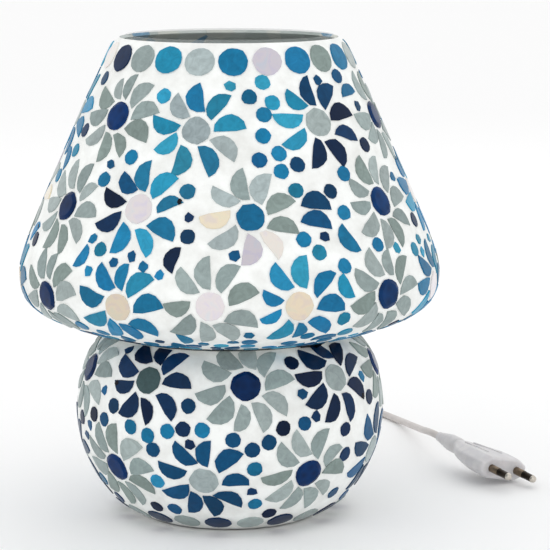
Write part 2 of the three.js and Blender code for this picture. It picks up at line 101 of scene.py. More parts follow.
soft_lamp("key", (-0.7, -1.5, 1.5), (0, 0, 0.14), 1.2, 2.6)
soft_lamp("fill", (1.3, -1.0, 0.8), (0, 0, 0.12), 1.2, 0.8)
soft_lamp("back", (0.3, 1.5, 1.3), (0, 0, 0.12), 1.2, 1.6)

world = bpy.data.worlds.new("room")
world.use_nodes = True
world.node_tree.nodes["Background"].inputs["Color"].default_value = (1, 1, 1, 1)
world.node_tree.nodes["Background"].inputs["Strength"].default_value = 1.0
scene.world = world


def linear(hex_colour):
    """An sRGB colour such as "1f6fae", as the linear RGBA that shaders work in."""
    values = [int(hex_colour[i : i + 2], 16) / 255 for i in (0, 2, 4)]
    return [v / 12.92 if v <= 0.04045 else ((v + 0.055) / 1.055) ** 2.4 for v in values] + [1.0]


def add_node(tree, kind, settings=None, **links):
    """Adds a node, sets its properties, and its sockets from values or from other nodes' outputs."""
    node = tree.nodes.new(kind)
    for name, value in (settings or {}).items():
        setattr(node, name, value)
    for name, value in links.items():
        socket = node.inputs[int(name[1:])] if name[1:].isdigit() else node.inputs[name.replace("_", " ")]
        if isinstance(value, bpy.types.NodeSocket):
            tree.links.new(value, socket)
        else:
            socket.default_value = value
    return node


def new_material(name, **shader_values):
    """A material with one Principled shader; returns it, its tree and the shader."""
    material = bpy.data.materials.new(name)
    material.use_nodes = True
    shader = material.node_tree.nodes["Principled BSDF"]
    for socket, value in shader_values.items():
        shader.inputs[socket.replace("_", " ")].default_value = value
    return material, material.node_tree, shader


def place_on_object(tree):
    return add_node(tree, "ShaderNodeTexCoord").outputs["Object"]


table_paint, tree, shader = new_material("matt_white_table", Base_Color=linear("fbfbfb"), Roughness=0.9)
bm = bmesh.new()
bmesh.ops.create_grid(bm, x_segments=1, y_segments=1, size=30)
table_mesh = bpy.data.meshes.new("table")
bm.to_mesh(table_mesh)
bm.free()
table = bpy.data.objects.new("table", table_mesh)
table.data.materials.append(table_paint)
scene.collection.objects.link(table)
print("table and lights ready")

# %% [markdown]
# ## Where the mosaic lies
# The skin of grout and glass follows the envelope, so its outline is read from the frame: the outermost
# point of each ring of the two mosaic solids. Between the rings a smooth curve (Catmull-Rom) is drawn,
# because blown glass has no corners. Each stretch becomes a line that answers: how far along, at what
# radius and height, and which way is outwards.


# %% Read the outline
def outer_rings(node):
    """(radius, height) of each outer ring of a turned CAD solid, from the bottom up, in mm."""
    tree = BVHTree.FromObject(nodes[node], bpy.context.evaluated_depsgraph_get())
    places = {(v.co.x, v.co.z) for v in nodes[node].data.vertices if v.co.x > 0 and abs(v.co.y) < 1e-6}
    rings = []
    for radius, height in sorted(places, key=lambda place: place[1]):
        outside = Vector((radius + 0.1 * MM, 0, height))
        if tree.ray_cast(outside, Vector((1, 0, 0)))[0] is None:
            rings.append((radius / MM, height / MM))
    return rings


class SkinLine:
    """A smooth line up the outside of the mosaic. Along it, everything is given in mm."""

    SUBDIVISIONS = 10

    def __init__(self, rings):
        points = [Vector(ring) for ring in rings]
        ends = [2 * points[0] - points[1], *points, 2 * points[-1] - points[-2]]
        self.points = []
        for before, start, end, after in zip(ends, ends[1:], ends[2:], ends[3:]):
            for step in range(self.SUBDIVISIONS):
                t = step / self.SUBDIVISIONS
                self.points.append(
                    0.5 * (2 * start + (end - before) * t
                           + (2 * before - 5 * start + 4 * end - after) * t**2
                           + (3 * start - before - 3 * end + after) * t**3)
                )
        self.points.append(points[-1])
        self.lengths = [0.0]
        for start, end in zip(self.points, self.points[1:]):
            self.lengths.append(self.lengths[-1] + (end - start).length)
        self.total = self.lengths[-1]

    def at(self, along):
        """Radius and height at a distance along the line."""
        along = min(max(along, 0.0), self.total)
        index = next((i for i, l in enumerate(self.lengths[1:]) if l >= along), len(self.lengths) - 2)
        share = (along - self.lengths[index]) / (self.lengths[index + 1] - self.lengths[index])
        return self.points[index].lerp(self.points[index + 1], share)

    def outwards(self, along):
        run = self.at(along + 1.5) - self.at(along - 1.5)
        return Vector((run.y, -run.x)).normalized()

    def bend(self, along):
        """How sharply the line bends, 1/mm; positive where it bulges outwards."""
        return self.outwards(along - 3).angle_signed(self.outwards(along + 3), 0.0) * -1 / 6

    def place(self, azimuth, along, lift=0.0):
        """A point in metres. Azimuth is in degrees, 0 at the front and positive to the right."""
        radius, height = self.at(along) + self.outwards(along) * lift
        turn = math.radians(azimuth)
        return Vector((radius * math.sin(turn), -radius * math.cos(turn), height)) * MM

    def along_at_height(self, height):
        pairs = zip(self.points, self.lengths)
        return min(pairs, key=lambda pair: abs(pair[0].y - height))[1]


base_line = SkinLine(outer_rings("base_mosaic"))
shade_line = SkinLine(outer_rings("shade_mosaic"))
print("base line", round(base_line.total), "mm, shade line", round(shade_line.total), "mm")
print("bend at the shade's edge", round(shade_line.bend(shade_line.along_at_height(132)), 3), "per mm")

# %% [markdown]
# ## The cord
# A table lamp like this has about 1.8 m of thin round PVC cord. A cord has the same thickness all along,
# so it is a curve with a round bevel rather than a mesh. Only its last part shows beside the lamp: the rest
# is wound in a small coil behind the base, tied, and passes through a hand switch before it comes out.
# The points are the frame's own route; a loop works out the nine turns of the coil.

# %% Cord route
CORD_DIAMETER = 4.4 * MM
EXIT_HEIGHT = 34.0
EXIT_RADIUS = 82.48
EXIT_TILT = math.radians(22.93)


def exit_point(distance):
    """A point on the line on which the cord leaves the back of the base, mm from the skin."""
    return (0, EXIT_RADIUS + distance * math.cos(EXIT_TILT), EXIT_HEIGHT - distance * math.sin(EXIT_TILT))


PLUG_FACE = Vector((165, 53.2, 9.8))
plug_turn = (
    Matrix.Rotation(math.radians(-60), 4, "Z")
    @ Matrix.Rotation(math.radians(6), 4, "Y")
    @ Matrix.Rotation(math.radians(-12), 4, "X")
)


def plug_point(along):
    return tuple(PLUG_FACE + plug_turn @ Vector((along, 0, 0)))


RELIEF_TO_COIL = [exit_point(22), (0, 106.7, 23.8), (0.2, 112, 21.5), (0.8, 118, 19.6), (1.7, 124, 18.3),
                  (2.6, 128.4, 17.7), (3.9, 134, 17.5), (5.2, 139.5, 17.3), (6.6, 145, 16.9),
                  (8.1, 150, 15.4)]
COIL_TO_SWITCH = [(10.4, 178.9, 4.6), (12, 182.4, 6.2), (14.1, 186.9, 7.3), (17.2, 193.5, 8), (36.5, 235, 8)]
SWITCH_TO_PLUG = [(39.3, 240.9, 8), (42.4, 247.4, 7.4), (47.3, 255, 5.6), (56.5, 262.7, 3.6),
                  (67.7, 266.8, 2.6),
                  (79.7, 266.8, 2.3), (91, 262.7, 2.3), (99.3, 255.9, 2.3), (105.1, 247, 2.3),
                  (109.8, 235.9, 2.4),
                  (113.2, 225.6, 3), (116.2, 210.4, 4.6), (118.7, 190.8, 7.2), (121, 168.9, 10.4),
                  (123.2, 147, 13.6), (124.6, 131, 16.4), plug_point(-75), plug_point(-66)]

COIL_CENTRE = (29.9, 150)
COIL_COLUMNS = (21.1, 25.5, 29.9)  # radius of each column of turns
COIL_LAYERS = (12.3, 7.9, 3.5)  # height of each layer, top first
COLUMN_ORDERS = (COIL_COLUMNS, COIL_COLUMNS[::-1], COIL_COLUMNS)
TURN_PLACES = [(radius, height) for height, radii in zip(COIL_LAYERS, COLUMN_ORDERS) for radius in radii]
FIRST_ANGLE = 180
LAST_ANGLE = 155 - 9 * 360


def ease(value, start, end):
    share = min(max((value - start) / (end - start), 0), 1)
    return share * share * (3 - 2 * share)


def coil_turns():
    """The turns run clockwise. Each steps sideways, then down, so that none cuts its neighbour."""
    route = []
    for angle in range(FIRST_ANGLE - 12, LAST_ANGLE - 1, -9):
        turned = FIRST_ANGLE - angle
        index, within = divmod(turned, 360)
        radius, height = TURN_PLACES[min(index, 8)]
        following = TURN_PLACES[min(index + 1, 8)]
        radius += (following[0] - radius) * ease(within, 270, 312)
        height += (following[1] - height) * ease(within, 312, 354)
        height += 1.6 * (1 - ease(turned, 12, 55))
        x = COIL_CENTRE[0] + radius * math.cos(math.radians(angle))
        y = COIL_CENTRE[1] + radius * math.sin(math.radians(angle))
        route.append((x, y, height))
    return route


cord_route = RELIEF_TO_COIL + coil_turns() + COIL_TO_SWITCH + SWITCH_TO_PLUG


def smooth_route(route, steps=4):
    """The same route with points between its own, on a smooth curve through them all."""
    points = [Vector(point) for point in route]
    ends = [2 * points[0] - points[1], *points, 2 * points[-1] - points[-2]]
    smooth = []
    for before, start, end, after in zip(ends, ends[1:], ends[2:], ends[3:]):
        pull_in = (end - before).normalized() * (end - start).length
        pull_out = (after - start).normalized() * (end - start).length
        for step in range(steps):
            t = step / steps
            smooth.append(
                start * (2 * t**3 - 3 * t**2 + 1) + pull_in * (t**3 - 2 * t**2 + t)
                + end * (3 * t**2 - 2 * t**3) + pull_out * (t**3 - t**2)
            )
    return smooth + [points[-1]]


def round_cord(name, route, diameter, material):
    data = bpy.data.curves.new(name, "CURVE")
    data.dimensions = "3D"
    data.bevel_depth = diameter / 2
    data.bevel_resolution = 4
    data.use_fill_caps = True
    spline = data.splines.new("POLY")
    points = smooth_route(route)
    spline.points.add(len(points) - 1)
    for spot, point in zip(spline.points, points):
        spot.co = (*(point * MM), 1)
    piece = bpy.data.objects.new(name, data)
    scene.collection.objects.link(piece)
    data.materials.append(material)
    length = sum((b - a).length for a, b in zip(points, points[1:]))
    print(name, "is", round(length), "mm long")
    return piece


# %% [markdown]
# Flexible PVC is soft and slightly oily to the eye: a broad, weak highlight and a faint waviness
# left by the extruder. The waviness is a few millimetres long, as it is on real cord.

# %% Cord PVC
cord_pvc, tree, shader = new_material("soft_pvc_extruded_white", Roughness=0.42, Subsurface_Weight=0.15,
                                      Subsurface_Scale=0.002)
shader.inputs["Subsurface Radius"].default_value = (1.0, 0.9, 0.8)
waviness = add_node(tree, "ShaderNodeTexNoise", Vector=place_on_object(tree), Scale=1 / (9 * MM), Detail=2.0)
shade = add_node(tree, "ShaderNodeValToRGB", Fac=waviness.outputs["Fac"])
shade.color_ramp.elements[0].color = linear("bab4b1")
shade.color_ramp.elements[1].color = linear("d6d0cd")
tree.links.new(shade.outputs["Color"], shader.inputs["Base Color"])
ripple = add_node(tree, "ShaderNodeBump", Height=waviness.outputs["Fac"], Strength=0.15, Distance=0.2 * MM)
tree.links.new(ripple.outputs["Normal"], shader.inputs["Normal"])

mains_cord = round_cord("mains_cord", cord_route, CORD_DIAMETER, cord_pvc)
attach(mains_cord, "lamp")
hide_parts("cord_relief_to_coil", "cord_coil", "cord_coil_to_switch", "cord_switch_to_plug")

# %% [markdown]
# ## The grout
# The grout on the real lamp is white tile cement pressed between the chips and wiped with a sponge.
# It is a turned shell, so its cross-section is drawn once and spun. A boolean against the chips would be
# slow and gain nothing: the chips simply stand a hair proud of it and reach through to the glass behind.
# A little noise on the finished shell gives it the uneven level that a sponge leaves.

# %% Grout cement
GROUT_DROP = 0.3  # the grout's face below the skin line, mm
GROUT_BACK = 2.4
SPIN_STEPS = 160

white_grout, tree, shader = new_material("wiped_white_tile_grout", Roughness=0.86)
position = place_on_object(tree)
stain = add_node(tree, "ShaderNodeTexNoise", Vector=position, Scale=1 / (14 * MM), Detail=4.0, Roughness=0.6)
cement = add_node(tree, "ShaderNodeValToRGB", Fac=stain.outputs["Fac"])
cement.color_ramp.elements[0].position = 0.3
cement.color_ramp.elements[0].color = linear("e6e7e4")
cement.color_ramp.elements[1].position = 0.62
cement.color_ramp.elements[1].color = linear("f8faf8")
tree.links.new(cement.outputs["Color"], shader.inputs["Base Color"])
sand = add_node(tree, "ShaderNodeTexNoise", Vector=position, Scale=1 / (0.9 * MM), Detail=3.0)
grit = add_node(tree, "ShaderNodeBump", Height=sand.outputs["Fac"], Strength=0.35, Distance=0.12 * MM)
tree.links.new(grit.outputs["Normal"], shader.inputs["Normal"])


def finish_piece(name, bm, material, body="lamp", smooth_angle=35):
    """Turns a bmesh into a piece that rides on a body, shaded smooth below an angle."""
    mesh = bpy.data.meshes.new(name)
    bm.to_mesh(mesh)
    bm.free()
    piece = bpy.data.objects.new(name, mesh)
    scene.collection.objects.link(piece)
    for each in material if isinstance(material, list) else [material]:
        mesh.materials.append(each)
    if smooth_angle:
        mesh.polygons.foreach_set("use_smooth", [True] * len(mesh.polygons))
        mesh.set_sharp_from_angle(angle=math.radians(smooth_angle))
    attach(piece, body)
    return piece


def spun(profile, steps, closed=True):
    """A bmesh turned round Z from (radius, height) points in mm. A closed profile gives a ring."""
    bm = bmesh.new()
    verts = [bm.verts.new((radius * MM, 0, height * MM)) for radius, height in profile]
    edges = [bm.edges.new(pair) for pair in zip(verts, verts[1:])]
    if closed:
        edges.append(bm.edges.new((verts[-1], verts[0])))
    bmesh.ops.spin(bm, geom=verts + edges, axis=(0, 0, 1), cent=(0, 0, 0), angle=math.tau, steps=steps,
                   use_merge=True)
    bmesh.ops.remove_doubles(bm, verts=bm.verts[:], dist=0.001 * MM)
    bmesh.ops.recalc_face_normals(bm, faces=bm.faces[:])
    return bm


def skin_profile(line, lift_out, lift_in, step=2.6):
    """A closed cross-section between two depths under a skin line."""
    count = round(line.total / step)
    stops = [line.total * i / count for i in range(count + 1)]

    def side(lift):
        return [tuple(line.at(stop) + line.outwards(stop) * lift) for stop in stops]

    return side(lift_out) + side(lift_in)[::-1]


# %% [markdown]
# Seen through the mouth, the inside of the shell isn't grout: the chips are stuck to the bubble with clear
# glue, so their backs show through the glass as dull patches, mostly grey with some blue. Cells of noise at
# chip size stand for them, because no separate part could be told from behind two layers of glass.

# %% Chip backs in glue
glued_backs, tree, shader = new_material("chip_backs_in_cured_glue", Roughness=0.6)
position = place_on_object(tree)
backs = add_node(tree, "ShaderNodeTexVoronoi", Vector=position, Scale=1 / (15 * MM), Randomness=0.9)
back_value = add_node(tree, "ShaderNodeSeparateColor", Color=backs.outputs["Color"])
back_colour = add_node(tree, "ShaderNodeValToRGB", Fac=back_value.outputs["Red"])
back_colour.color_ramp.interpolation = "CONSTANT"
back_colour.color_ramp.elements[0].color = linear("c3cbc8")
back_colour.color_ramp.elements[1].position = 0.86
back_colour.color_ramp.elements[1].color = linear("5b93b8")
for place, colour in ((0.3, "d0d6d3"), (0.55, "b5bebb"), (0.72, "d8dad2")):
    back_colour.color_ramp.elements.new(place).color = linear(colour)
tree.links.new(back_colour.outputs["Color"], shader.inputs["Base Color"])
drips = add_node(tree, "ShaderNodeTexNoise", Vector=position, Scale=1 / (4 * MM), Detail=3.0)
glue_bump = add_node(tree, "ShaderNodeBump", Height=drips.outputs["Fac"], Strength=0.4, Distance=0.4 * MM)
tree.links.new(glue_bump.outputs["Normal"], shader.inputs["Normal"])


# %% The two grout shells
def grout_shell(name, line, node):
    bm = spun(skin_profile(line, -GROUT_DROP, -GROUT_BACK), SPIN_STEPS)
    bm.normal_update()
    for vert in bm.verts:
        radius = math.hypot(vert.co.x, vert.co.y)
        sideways = Vector((vert.co.x, vert.co.y, 0)) / radius
        if vert.normal.dot(sideways) > -0.2 and vert.normal.z < 0.98:
            vert.co += vert.normal * 0.16 * MM * noise.noise(vert.co / (11 * MM))
    for face in bm.faces:
        middle = face.calc_center_median()
        if face.normal.dot(Vector((middle.x, middle.y, 0)).normalized()) < -0.1:
            face.material_index = 1  # the side that lies on the glass
    piece = finish_piece(name, bm, [white_grout, glued_backs], smooth_angle=50)
    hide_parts(node)
    print(name, len(piece.data.polygons), "faces")
    return piece


grout_shell("shade_grout", shade_line, "shade_mosaic")
grout_shell("base_grout", base_line, "base_mosaic")

# %% [markdown]
# ## The glass chips
# The chips are round blanks of rolled coloured glass, used whole, cut in half, or broken small.
# A flower is a whole round with half-rounds turned about it like a pinwheel; small rounds fill the gaps.
# First the chips are only planned, as outlines on the skin line, so that a chip that would touch
# another can be cut smaller or left out, as the maker does. The meshes come afterwards.

# %% Kinds of glass
random.seed(7)
ROUND_RADIUS = 8.3  # the round blanks, mm
HALF_RADIUS = 9.3  # the blanks that are cut in half are a little larger
DOT_RADIUS = 4.4
SEAM = 1.0  # least grout between two chips, mm

GLASS_COLOURS = {
    "teal": ["2690b3", "2d95ba", "1f87aa", "339dbe"],
    "blue": ["1578a4", "1c7fac", "126f9b", "2586b0"],
    "deep": ["0b507c", "094871", "0f5b8a", "083f66"],
    "navy": ["08264a", "0a2e54", "061f40", "0b355e"],
    "cobalt": ["1a7cae", "1f83b6", "1674a4"],
    "grey": ["8b9a99", "95a3a2", "82918d", "9fabaa"],
    "smoke": ["3d5356", "465c5e", "374a4d"],
    "pale": ["9ca8a9", "a5b2b3", "919ea1", "adb7b5"],
    "cream": ["d6c69c", "ddcfa9", "d2c09e"],
    "pearl": ["dfdad6", "dcd7e0", "e4dfd9"],
    "lavender": ["a8a6bd", "b2afc5", "9f9cb8"],
    # black: painted shade, for gaps in the grout where the dark inside shows through bare glass
    "black": ["0a0a12", "12101a"],
    "gem": ["06376b", "052e60"],
}
LIGHT_GLASS = {"grey", "pale", "cream", "pearl", "lavender"}


def half_round(radius, width=1.0):
    """Half a round blank, long axis along X, straight side towards -Y, centred on itself."""
    outline = []
    for step in range(8):
        angle = math.radians(4 + 172 * step / 7)
        outline.append([radius * math.cos(angle), radius * math.sin(angle) * width - 0.42 * radius])
    for share in (-0.42, 0.36):
        outline.append([radius * share, -0.42 * radius + random.uniform(-0.25, 0.35)])
    return outline


def whole_round(radius, sides=14):
    return [
        [radius * math.cos(math.tau * i / sides), radius * math.sin(math.tau * i / sides)]
        for i in range(sides)
    ]


def chipped(outline, amount):
    """Each corner moved a little, as broken glass is never true."""
    return [[x + random.uniform(-amount, amount), y + random.uniform(-amount, amount)] for x, y in outline]


def turned_by(outline, degrees):
    c, s = math.cos(math.radians(degrees)), math.sin(math.radians(degrees))
    return [[x * c - y * s, x * s + y * c] for x, y in outline]


def cut_between(outline, low, high):
    """The part of an outline between two heights, as a chip is cut straight along an edge."""
    for sign, limit in ((1, low), (-1, high)):
        kept = []
        for (x0, y0), (x1, y1) in zip(outline, outline[1:] + outline[:1]):
            inside, next_inside = sign * (y0 - limit) >= 0, sign * (y1 - limit) >= 0
            if inside:
                kept.append([x0, y0])
            if inside != next_inside:
                share = (limit - y0) / (y1 - y0)
                kept.append([x0 + (x1 - x0) * share, limit])
        outline = kept
    spaced = []
    for x, y in outline:
        if not spaced or math.dist((x, y), spaced[-1]) > 0.5:
            spaced.append([x, y])
    return spaced


class Mosaic:
    """The plan of all chips on one skin line."""

    def __init__(self, line):
        self.line = line
        self.chips = []
        self.covered = []  # (azimuth, along, radius) of the discs that stand for the chips

    def clear(self, azimuth, along, radius, seam=SEAM):
        ring = self.line.at(along).x
        for other_azimuth, other_along, other_radius in self.covered:
            reach = radius + other_radius + seam
            rise = along - other_along
            if abs(rise) >= reach:
                continue
            swing = (azimuth - other_azimuth + 180) % 360 - 180
            if math.hypot(math.radians(swing) * ring, rise) < reach:
                return False
        return True

    def spots(self, azimuth, along, outline_spots):
        ring = self.line.at(along).x
        return [(azimuth + math.degrees(x / ring), along + y, r) for x, y, r in outline_spots]

    def add(self, azimuth, along, outline, glass, discs, must_fit=True, lift=0.0):
        """Plans a chip if it fits; outline and discs are in mm about its middle."""
        discs = self.spots(azimuth, along, discs)
        if must_fit and not all(self.clear(*disc) for disc in discs):
            return False
        outline = cut_between(outline, 0.9 - along, self.line.total - 0.9 - along)
        if len(outline) < 5 or max(y for x, y in outline) - min(y for x, y in outline) < 3:
            return False
        self.covered += discs
        self.chips.append(
            {"azimuth": azimuth, "along": along, "outline": outline, "glass": glass, "lift": lift}
        )
        return True

    def round_chip(self, azimuth, along, radius, glass, must_fit=True, wear=0.25):
        sides = 16 if radius > 6 else 11
        outline = turned_by(chipped(whole_round(radius, sides), wear), random.uniform(0, 360))
        return self.add(azimuth, along, outline, glass, [(0, 0, radius)], must_fit)

    def half_chip(self, azimuth, along, facing, glass, size=1.0):
        """A half-round; facing is where its round side looks, 90 is up."""
        radius = HALF_RADIUS * size
        outline = chipped(half_round(radius, random.uniform(0.92, 1.16)), 0.3)
        discs = [(-0.52 * radius, -0.05 * radius, 0.33 * radius), (0, 0.05 * radius, 0.42 * radius),
                 (0.52 * radius, -0.05 * radius, 0.33 * radius)]
        turn = facing - 90
        turned_discs = [(*turned_by([[x, y]], turn)[0], r) for x, y, r in discs]
        if not self.add(azimuth, along, turned_by(outline, turn), glass, turned_discs):
            return False
        # A few half-rounds get a small black round at one corner: painted shade for a gap in the grout.
        if random.random() < 0.07 and glass not in LIGHT_GLASS:
            tip = turned_by(chipped(whole_round(0.2 * radius, 7), 0.5), turn)
            shift = turned_by([[0.74 * radius, -0.16 * radius]], turn)[0]
            tip = [[x + shift[0], y + shift[1]] for x, y in tip]
            self.chips.append(
                {"azimuth": azimuth, "along": along, "outline": tip, "glass": "black", "lift": 0.12}
            )
        return True

    def flower(self, azimuth, height, heart, petals, count=9, turn=0.0):
        """A round or gem with half-rounds about it; petals names one glass, or several that it mixes."""
        along = self.line.along_at_height(height)
        heart_radius = ROUND_RADIUS if heart == "gem" else ROUND_RADIUS * random.uniform(0.9, 1.0)
        self.round_chip(azimuth, along, heart_radius, heart, must_fit=False, wear=0.35)
        ring = self.line.at(along).x
        for i in range(count):
            angle = turn + 360 * i / count + random.uniform(-4, 4)
            glass = petals if isinstance(petals, str) else petals[i % len(petals)]
            for size in (1.0, 0.86, 0.72):
                reach = heart_radius + 0.9 + HALF_RADIUS * size + random.uniform(0, 0.8)
                x, y = reach * math.cos(math.radians(angle)), reach * math.sin(math.radians(angle))
                if not 3.5 < along + y < self.line.total - 3.5:
                    continue
                facing = angle + 90 + random.uniform(-12, 12)
                cut = size * random.uniform(0.94, 1.0)
                if self.half_chip(azimuth + math.degrees(x / ring), along + y, facing, glass, cut):
                    break


shade_plan = Mosaic(shade_line)
base_plan = Mosaic(base_line)

# %% [markdown]
# The rim carries a row of whole rounds, and below it stand three rows of flowers, with two more on the
# base. The flowers that face the front are placed one by one, since the eye goes there first; the rest
# of each row is continued at the same spacing with the same mixture of glasses.

# %% Rounds along the rim and the foot
RIM_ROUNDS = 24
RIM_RADIUS = 8.2
rim_glasses = ["navy", "grey", "teal", "pale", "blue", "lavender",
               "cobalt", "grey", "blue", "pale", "teal", "pearl"]
rim_along = shade_line.along_at_height(264.5)
for i in range(RIM_ROUNDS):
    azimuth = -58 + 360 / RIM_ROUNDS * i + random.uniform(-0.7, 0.7)
    along = rim_along + random.uniform(-0.6, 0.6)
    shade_plan.round_chip(azimuth, along, RIM_RADIUS, rim_glasses[i % len(rim_glasses)], must_fit=False)

FOOT_ROUNDS = 22
FOOT_RADIUS = 7.6
foot_along = 14.0
for i in range(FOOT_ROUNDS):
    azimuth = -39 + 360 / FOOT_ROUNDS * i
    base_plan.round_chip(azimuth, foot_along, FOOT_RADIUS, ("navy", "grey")[i % 2], must_fit=False)

# %% Flowers of the shade and the base
BLUES = ("blue", "teal", "blue", "cobalt")
PALES = ("grey", "pale", "grey", "pale", "cream", "pale", "lavender", "pearl", "grey")
shade_flowers = [
    # azimuth, height, heart, petals, how many, turn
    (-47, 234, "gem", "grey", 10, 10), (-12, 230, "pale", ("teal", "teal", "blue", "pale", "teal"), 9, 12),
    (35, 232, "grey", ("navy", "deep", "deep", "teal", "teal", "teal", "navy", "navy", "navy"), 9, 15),
    (74, 232, "gem", "grey", 10, 0), (-86, 232, "pale", BLUES, 9, 20),
    (-58, 186, "gem", "grey", 10, 0),
    (-28, 187, "pearl", ("blue", "teal", "blue", "deep", "navy", "navy", "blue", "teal"), 9, 10),
    (6, 184, "cobalt", PALES, 9, 24), (53, 188, "gem", "grey", 10, 5), (84, 187, "pearl", BLUES, 9, 0),
    (-57, 136, "gem", "grey", 10, 12), (-30, 136, "cream", BLUES, 9, 5), (-5, 139, "pearl", "grey", 9, 20),
    (18, 138, "cream", ("cobalt", "blue", "teal", "blue"), 9, 0), (46, 140, "gem", "grey", 10, 8),
    (73, 137, "pearl", BLUES, 9, 15), (-84, 137, "cream", BLUES, 9, 15),
]
base_flowers = [
    (-33, 90, "smoke", "navy", 9, 0), (6, 89, "gem", "grey", 10, 10), (45, 89, "grey", "navy", 9, 15),
    (-72, 89, "gem", "grey", 10, 0), (83, 89, "gem", "grey", 10, 0),
    (-49, 38, "gem", "grey", 10, 10), (-10, 36, "pale", "deep", 9, 5), (31, 38, "gem", "grey", 10, 0),
    (71, 41, "pale", "deep", 9, 10), (-88, 38, "pale", "deep", 9, 10),
]
BACK_ROWS = [
    # plan, list, first azimuth, last azimuth, how many, height, hearts, petals
    (shade_flowers, 112, 236, 4, 232, ("grey", "gem", "pale", "gem"),
     (BLUES, "grey", ("navy", "deep"), "grey")),
    (shade_flowers, 116, 270, 6, 187, ("gem", "pearl", "cobalt", "gem", "pale", "cobalt"),
     ("grey", BLUES, PALES, "grey", ("deep", "blue"), PALES)),
    (shade_flowers, 99, 249, 7, 138, ("gem", "cream", "pearl", "gem", "cream", "pearl", "gem"),
     ("grey", BLUES, "grey", "grey", BLUES, "grey", "grey")),
    (base_flowers, 122, 249, 4, 89, ("grey", "gem", "grey", "gem"), ("navy", "grey", "navy", "grey")),
    (base_flowers, 111, 232, 4, 38, ("gem", "pale", "gem", "pale"), ("grey", "deep", "grey", "deep")),
]
for flowers, first, last, count, height, hearts, petal_sets in BACK_ROWS:
    for i in range(count):
        azimuth = first + (last - first) * i / (count - 1)
        flowers.append(
            (azimuth, height, hearts[i % len(hearts)], petal_sets[i % len(petal_sets)], 9, 40 * i)
        )

SHADE_DOTS = [
    # azimuth, height: chains of small rounds between the flowers that face the front
    (14, 253), (8, 246), (17, 243), (13, 237), (12, 226), (10, 215), (17, 217), (23, 211), (17, 207),
    (21, 199),
    (40, 205), (36, 184), (21, 172), (25, 165), (32, 157), (-27, 246), (-35, 214), (-13, 196), (-44, 200),
]
SHADE_HALVES = [(29, 203, 70), (27, 192, 80), (26, 181, 75), (29, 172, 200), (35, 171, 210)]
BASE_DOTS = [(-31, 61), (-23, 63), (-17, 66), (-10, 65), (-29, 53), (1, 61), (8, 54), (14, 58), (9, 43)]

for azimuth, height in SHADE_DOTS:
    glass = random.choice(("blue", "teal", "blue", "deep"))
    shade_plan.round_chip(azimuth, shade_line.along_at_height(height), DOT_RADIUS, glass, must_fit=False)
for azimuth, height, facing in SHADE_HALVES:
    glass = random.choice(("deep", "blue", "teal"))
    shade_plan.half_chip(azimuth, shade_line.along_at_height(height), facing, glass)
for azimuth, height in BASE_DOTS:
    glass = random.choice(("deep", "navy", "blue"))
    base_plan.round_chip(azimuth, base_line.along_at_height(height), DOT_RADIUS, glass, must_fit=False)

for plan, flowers in ((shade_plan, shade_flowers), (base_plan, base_flowers)):
    for azimuth, height, heart, petals, count, turn in flowers:
        plan.covered += plan.spots(azimuth, plan.line.along_at_height(height), [(0, 0, ROUND_RADIUS)])
    for flower in flowers:
        plan.flower(*flower)
print("flower chips", len(shade_plan.chips), len(base_plan.chips))


# %% Small rounds and scraps in the gaps
def fill_gaps(plan, tries, glasses):
    """Throws chips at random and keeps those that land on bare glass, large ones first."""
    for radius, kind, share in ((5.6, "half", 0.12), (DOT_RADIUS, "dot", 0.55), (3.1, "scrap", 0.33)):
        for _ in range(int(tries * share)):
            azimuth = random.uniform(-180, 180)
            along = random.uniform(radius + 1, plan.line.total - radius - 1)
            glass = random.choice(glasses)
            if not plan.clear(azimuth, along, radius, 1.3):
                continue
            if kind == "half":
                plan.half_chip(azimuth, along, random.uniform(0, 360), glass, 0.8)
            elif kind == "dot":
                plan.round_chip(azimuth, along, radius * random.uniform(0.92, 1.04), glass)
            else:
                outline = turned_by(chipped(whole_round(radius, 6), 0.7), random.uniform(0, 360))
                plan.add(azimuth, along, outline, glass, [(0, 0, radius)])


fill_gaps(shade_plan, 5200, ("blue", "teal", "deep", "navy", "blue", "cobalt"))
fill_gaps(base_plan, 2600, ("navy", "deep", "navy", "blue"))
print("all chips", len(shade_plan.chips), len(base_plan.chips))

# %% [markdown]
# Each planned chip becomes a small closed mesh: a circle of triangles is laid on the skin, its rim is
# inset and lifted into a worn edge, and the sheet is made solid down to the envelope. Chips repeat by the
# hundred, so each has only a few dozen faces. Its colour is written on its faces, darker on the edge,
# because thick glass seen from its side lets little light back.


# %% Chip meshes
CHIP_BACK = 2.1  # thickness, mm
CHIP_PROUD = 0.06
EDGE_WIDTH = 0.5
FACET_WIDTH = 2.1  # of a cut gem
FACET_HEIGHT = 1.0
EDGE_HEIGHT = 0.2


def chip_colours(glass):
    base = linear(random.choice(GLASS_COLOURS[glass]))
    gain = random.uniform(0.88, 1.1) if glass in LIGHT_GLASS else random.uniform(0.6, 1.06)
    face = [min(v * gain, 1) for v in base[:3]] + [1.0]
    edge_gain = 0.72 if glass in LIGHT_GLASS else 0.3
    return face, [v * edge_gain for v in face[:3]] + [1.0]


